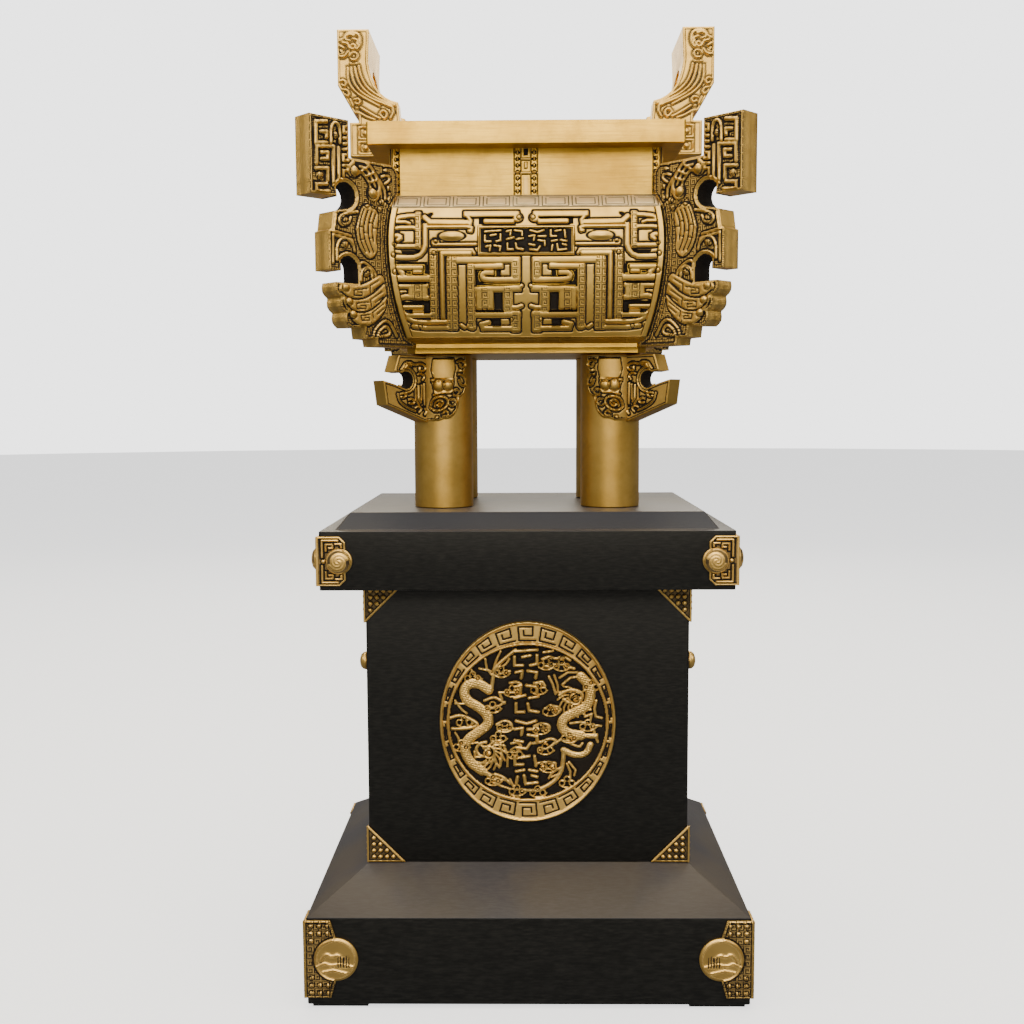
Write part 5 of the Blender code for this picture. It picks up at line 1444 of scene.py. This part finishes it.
def section_of(node, point, normal, to_local):
    """The outline that a plane cuts through one of the frame's solids, in order."""
    bm = bmesh.new()
    bm.from_mesh(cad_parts[node].data)
    bmesh.ops.remove_doubles(bm, verts=bm.verts, dist=0.00001)
    cut = bmesh.ops.bisect_plane(
        bm, geom=bm.verts[:] + bm.edges[:] + bm.faces[:], dist=0.000001, plane_co=point, plane_no=normal,
    )
    edges = {item for item in cut["geom_cut"] if isinstance(item, bmesh.types.BMEdge)}
    best = []
    while edges:
        edge = edges.pop()
        chain = [edge.verts[0], edge.verts[1]]
        while True:
            onward = [e for e in chain[-1].link_edges if e in edges]
            if not onward:
                break
            edges.discard(onward[0])
            chain.append(onward[0].other_vert(chain[-1]))
        if len(chain) > len(best):
            best = chain
    outline = [to_local(vert.co) for vert in best[:-1]]
    bm.free()
    thinned = []
    for k, (a, b) in enumerate(outline):
        (pa, pb), (na, nb) = outline[k - 1], outline[(k + 1) % len(outline)]
        if abs((a - pa) * (nb - pb) - (b - pb) * (na - pa)) > 0.002:
            thinned.append((a, b))
    return thinned


def rib_plate(outline, place, step):
    rib = cut_sheet(outline, step, rim=1.5, crown=0.35, fret=1.0)
    rib.dark[:] = 0.34
    inner = (rib.a < 34) & (rib.b < -2)
    for line in RIB_LINES:
        rib.cut = np.maximum(rib.cut, 0.85 * ease(1.2 - np.abs(rib.to_edge - line) / 0.6) * inner)
    framed = inner & (rib.to_edge < RIB_LINES[-1])
    rib.dark[framed] = 0.1
    rib.fretted[framed] = 0.0
    for centre, radius in POCKETS:
        rib.bar(1.8, 1.2, arc(centre, radius + 2.6, 30, 260 if radius > 10.5 else 185, 20))
    rib.work(RIB_CARVING)
    # The pockets and the lower notch get painted shadow inside their edges.
    holes = (*POCKETS, LOWER_NOTCH)
    return rib.finish(RIB_HALF_THICKNESS - 0.6, 0.0, place, double=True, holes=holes)


for corner, sx, sy in CORNERS:
    node = f"flange_{corner}"
    origin = Vector((sx * NECK_CORNER[0], sy * NECK_CORNER[1], NECK_FOOT_Z)) / MM
    direction = Vector((sx, sy, 0)).normalized()
    across = direction.cross(Vector((0, 0, 1)))
    outline = section_of(
        node, origin, across,
        lambda co: ((co - origin).dot(direction) * MM, (co.z - origin.z) * MM),
    )
    place = flat_place(origin, direction, (0, 0, 1), across)
    metal = rib_plate(outline, place, 0.82 if sy < 0 else 1.15)
    show(f"flange_{corner}_rib", metal, vessel, [node], sharp=50.0)

# Ears: two upright loops cast with an arch through them and lapped over the rim's ends;
# the front and back faces are chased with a crested head, long feathers and small coils.
EAR_HALF_DEPTH = 42.5
EAR_SKIN = 2.2
EAR_AT = 0.1387
EAR_SECTION = (0, 0.035, 0)
LAP_SQUARE = ((4.4, 12.0), (16.6, 12.0), (16.6, 1.4), (4.4, 1.4), (4.4, 12.0))
EAR_CARVING = (
    ("bar", 2.6, 1.4, (37.2, 87.6, 33.1, 90.4, 29.1, 92, 27.3, 96.5, 21.5, 97.3, 14.6, 95.8, 14.2, 86.3,
     17.2, 82.5)),
    ("bar", 2.8, 1.8, (29.8, 83.7, 33.2, 85.9, 36.7, 83.7, 37.3, 79.8, 34.5, 75.9, 28.8, 75.9, 25.5,
     80.3)),
    ("pit", 0, 1.6, (35.3, 83.7, 30.9, 84.8, 29.8, 82, 32.2, 79.2, 35, 80.4)),
    ("bar", 2.07, 1.5, (23.9, 90.3, 27.4, 90.9, 27.3, 94.2, 23.8, 95.6, 19.3, 94.7)),
    ("bar", 2.07, 1.4, (24, 83.6, 20.6, 82.5, 18.3, 85.3, 20.5, 87.5, 22.8, 85.9), (30.8, 88.7, 25.7,
     87.6, 24, 83.6)),
    ("bar", 2.07, 1.3, (21, 92, 16.4, 90.8, 16.9, 86.9)),
    ("bar", 2.07, 1.4, (24.2, 76.4, 22.4, 79.5, 17.8, 79.5, 16.3, 75.8, 19, 72.8, 22.8, 73.6)),
    ("boss", 1.9, 1.2, (20.1, 76.1)),
    ("boss", 1.8, 1.3, (23.1, 69.7), (18.3, 69.4)),
    ("bar", 1.72, 1.2, (26.1, 65.8, 26.2, 55.1, 22.9, 47.8, 15.5, 41, 4.1, 34.8, -2.8, 31.3), (22.9,
     66.3, 22.2, 56.2, 17.5, 47.2, 8.6, 39.9, -2.9, 34.7, -10, 31.9), (19.5, 66.8, 17.8, 56.8, 13.1,
     47.8, 4, 40.2, -7.5, 34.9, -14.9, 31.3), (16, 67.4, 14.1, 58.4, 9.6, 49.4, 1.7, 42.4, -8.7, 36.9,
     -17.2, 31.8)),
    ("line", 1.26, 0.8, (24.6, 64.1, 24.5, 56.2, 20, 47.8), (20.9, 64.1, 19.9, 56.2, 15.4, 47.8)),
    ("bar", 2.07, 1.3, (34, 53.5, 30.3, 55.2, 27.4, 52.3, 29.2, 49, 31.7, 50.7), (31.6, 46.2, 27.5, 46.2,
     24.7, 42.8, 26.5, 39.4, 28.8, 41.7), (20.2, 37.1, 16.7, 38.2, 14.5, 35.4, 16.8, 32.6, 19.3, 34),
     (24.2, 37.2, 21.4, 31.5, 24.4, 29.3)),
    ("groove", 1.6, 1, (25, 28.6, 15.7, 28.6)),
    ("bar", 2.18, 1.4, (-2.7, 23.5, -5.1, 27.4, -9.1, 26.2, -9.8, 21.7, -6.7, 19.5, -4.4, 22.3)),
    ("bar", 1.84, 1.2, (15.8, 25.3, 8.9, 21.3, 2, 19), (14.5, 29.8, 4.2, 23.5, -2.6, 20.1)),
    ("bar", 2.07, 1.3, (-13, 20, -15.6, 25.1, -14.9, 30.1, -10.9, 31.3)),
)


for side, sx in (("left", -1), ("right", 1)):
    node = f"ear_{side}"
    low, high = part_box(node)
    core = with_layers(eased_copy(node, 0.0009, math.radians(40), 2))
    for vert in core.verts:
        if abs(vert.co.y) > (EAR_HALF_DEPTH - 1.6) / MM:
            vert.co.y = math.copysign((EAR_HALF_DEPTH - EAR_SKIN) / MM, vert.co.y)
    metal = new_casting()
    add_mesh(metal, core)
    origin = Vector((sx * EAR_AT, 0.0, RIM_TOP_Z / MM))
    outline = section_of(
        node, EAR_SECTION, (0, 1, 0),
        lambda co: ((co.x - origin.x) * sx * MM, (co.z - origin.z) * MM),
    )
    for sy in (-1, 1):
        face = cut_sheet(outline, 0.8 if sy < 0 else 1.0, rim=1.6, soot=0.55, crown=0.5)
        face.dark[:] = 0.10
        face.work(EAR_CARVING)
        for level in (0.0, -13.4):
            face.bar(1.5, 1.1, [(a, b + level) for a, b in LAP_SQUARE])
            face.boss(2.6, 1.6, [(10.5, 6.7 + level)])
        place = flat_place(origin, (sx, 0, 0), (0, 0, 1), (0, sy, 0))
        add_mesh(metal, face.finish(EAR_HALF_DEPTH - 0.6, -(EAR_HALF_DEPTH - EAR_SKIN - 0.4), place))
    show(f"ear_{side}_loop", metal, vessel, [node], sharp=45.0)

# Room: a pale seamless floor, soft boxes overhead and to both sides, and the camera at
# the height of the pedestal's cap, tipped slightly down.
PHOTO_PIXELS = 1024.0
FOCAL_PIXELS = 1185.5
SENSOR = 36.0
CAMERA_SPOT = (0.0, -1.1714, 0.5386)
CAMERA_TURN, CAMERA_TIP, CAMERA_ROLL = 0.7256, 5.1827, -0.25
WARM = (1.0, 0.92, 0.76)


def glow(name, strength, paper=0.0):
    finish = Finish(name)
    finish.set(color=(paper, paper, paper), roughness=1.0, glow=(1.0, 1.0, 1.0), power=strength)
    return finish.material


def backdrop(name, bm, material):
    """A part of the room that lights the piece but isn't mirrored in it."""
    mesh = bpy.data.meshes.new(name)
    bm.to_mesh(mesh)
    bm.free()
    mesh.materials.append(material)
    screen = bpy.data.objects.new(name, mesh)
    bpy.context.scene.collection.objects.link(screen)
    screen.visible_glossy = False
    screen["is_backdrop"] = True
    return screen


floor = bmesh.new()
bmesh.ops.create_circle(floor, cap_ends=True, radius=14.0, segments=96)
backdrop("floor", floor, glow("floor_paper", 1.5, paper=0.45))

dome = bmesh.new()
bmesh.ops.create_uvsphere(dome, u_segments=48, v_segments=24, radius=13.5)
sky = backdrop("paper_dome", dome, glow("paper_light", 3.0))
sky.visible_diffuse = False
sky.visible_shadow = False


def soft_box(name, spot, target, size, power):
    lamp = bpy.data.lights.new(name, "AREA")
    lamp.shape = "RECTANGLE"
    lamp.size, lamp.size_y = size
    lamp.energy = power
    lamp.color = WARM
    holder = bpy.data.objects.new(name, lamp)
    bpy.context.scene.collection.objects.link(holder)
    holder.location = spot
    holder.rotation_mode = "QUATERNION"
    holder.rotation_quaternion = (Vector(target) - Vector(spot)).to_track_quat("-Z", "Y")


soft_box("overhead", (0.0, 0.0, 2.9), (0, 0, 0.6), (2.6, 2.6), 150.0)
soft_box("front_high", (0.0, -2.4, 1.9), (0, 0, 0.7), (2.6, 1.5), 75.0)
soft_box("front_low", (0.0, -2.6, 0.8), (0, 0, 0.4), (2.0, 0.9), 8.0)
soft_box("left_high", (-2.3, -1.0, 1.9), (0, 0, 0.6), (1.2, 1.2), 22.0)
soft_box("right_high", (2.3, -1.0, 1.9), (0, 0, 0.6), (1.2, 1.2), 22.0)
soft_box("back_high", (0.0, 2.6, 1.8), (0, 0, 0.6), (2.2, 1.2), 40.0)

world = bpy.data.worlds.new("studio")
bpy.context.scene.world = world
world.use_nodes = True
room = world.node_tree.nodes["Background"]
room.inputs["Color"].default_value = (0.95, 0.97, 1.0, 1.0)
room.inputs["Strength"].default_value = 0.22

lens = bpy.data.cameras.new("camera")
lens.sensor_width = SENSOR
lens.lens = FOCAL_PIXELS / PHOTO_PIXELS * SENSOR
lens.clip_start = 0.05
camera = bpy.data.objects.new("camera", lens)
bpy.context.scene.collection.objects.link(camera)
camera.matrix_world = (
    Matrix.Translation(CAMERA_SPOT)
    @ Matrix.Rotation(math.radians(CAMERA_TURN), 4, "Z")
    @ Matrix.Rotation(math.radians(90.0 - CAMERA_TIP), 4, "X")
    @ Matrix.Rotation(math.radians(CAMERA_ROLL), 4, "Z")
)
bpy.context.scene.camera = camera

low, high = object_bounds()
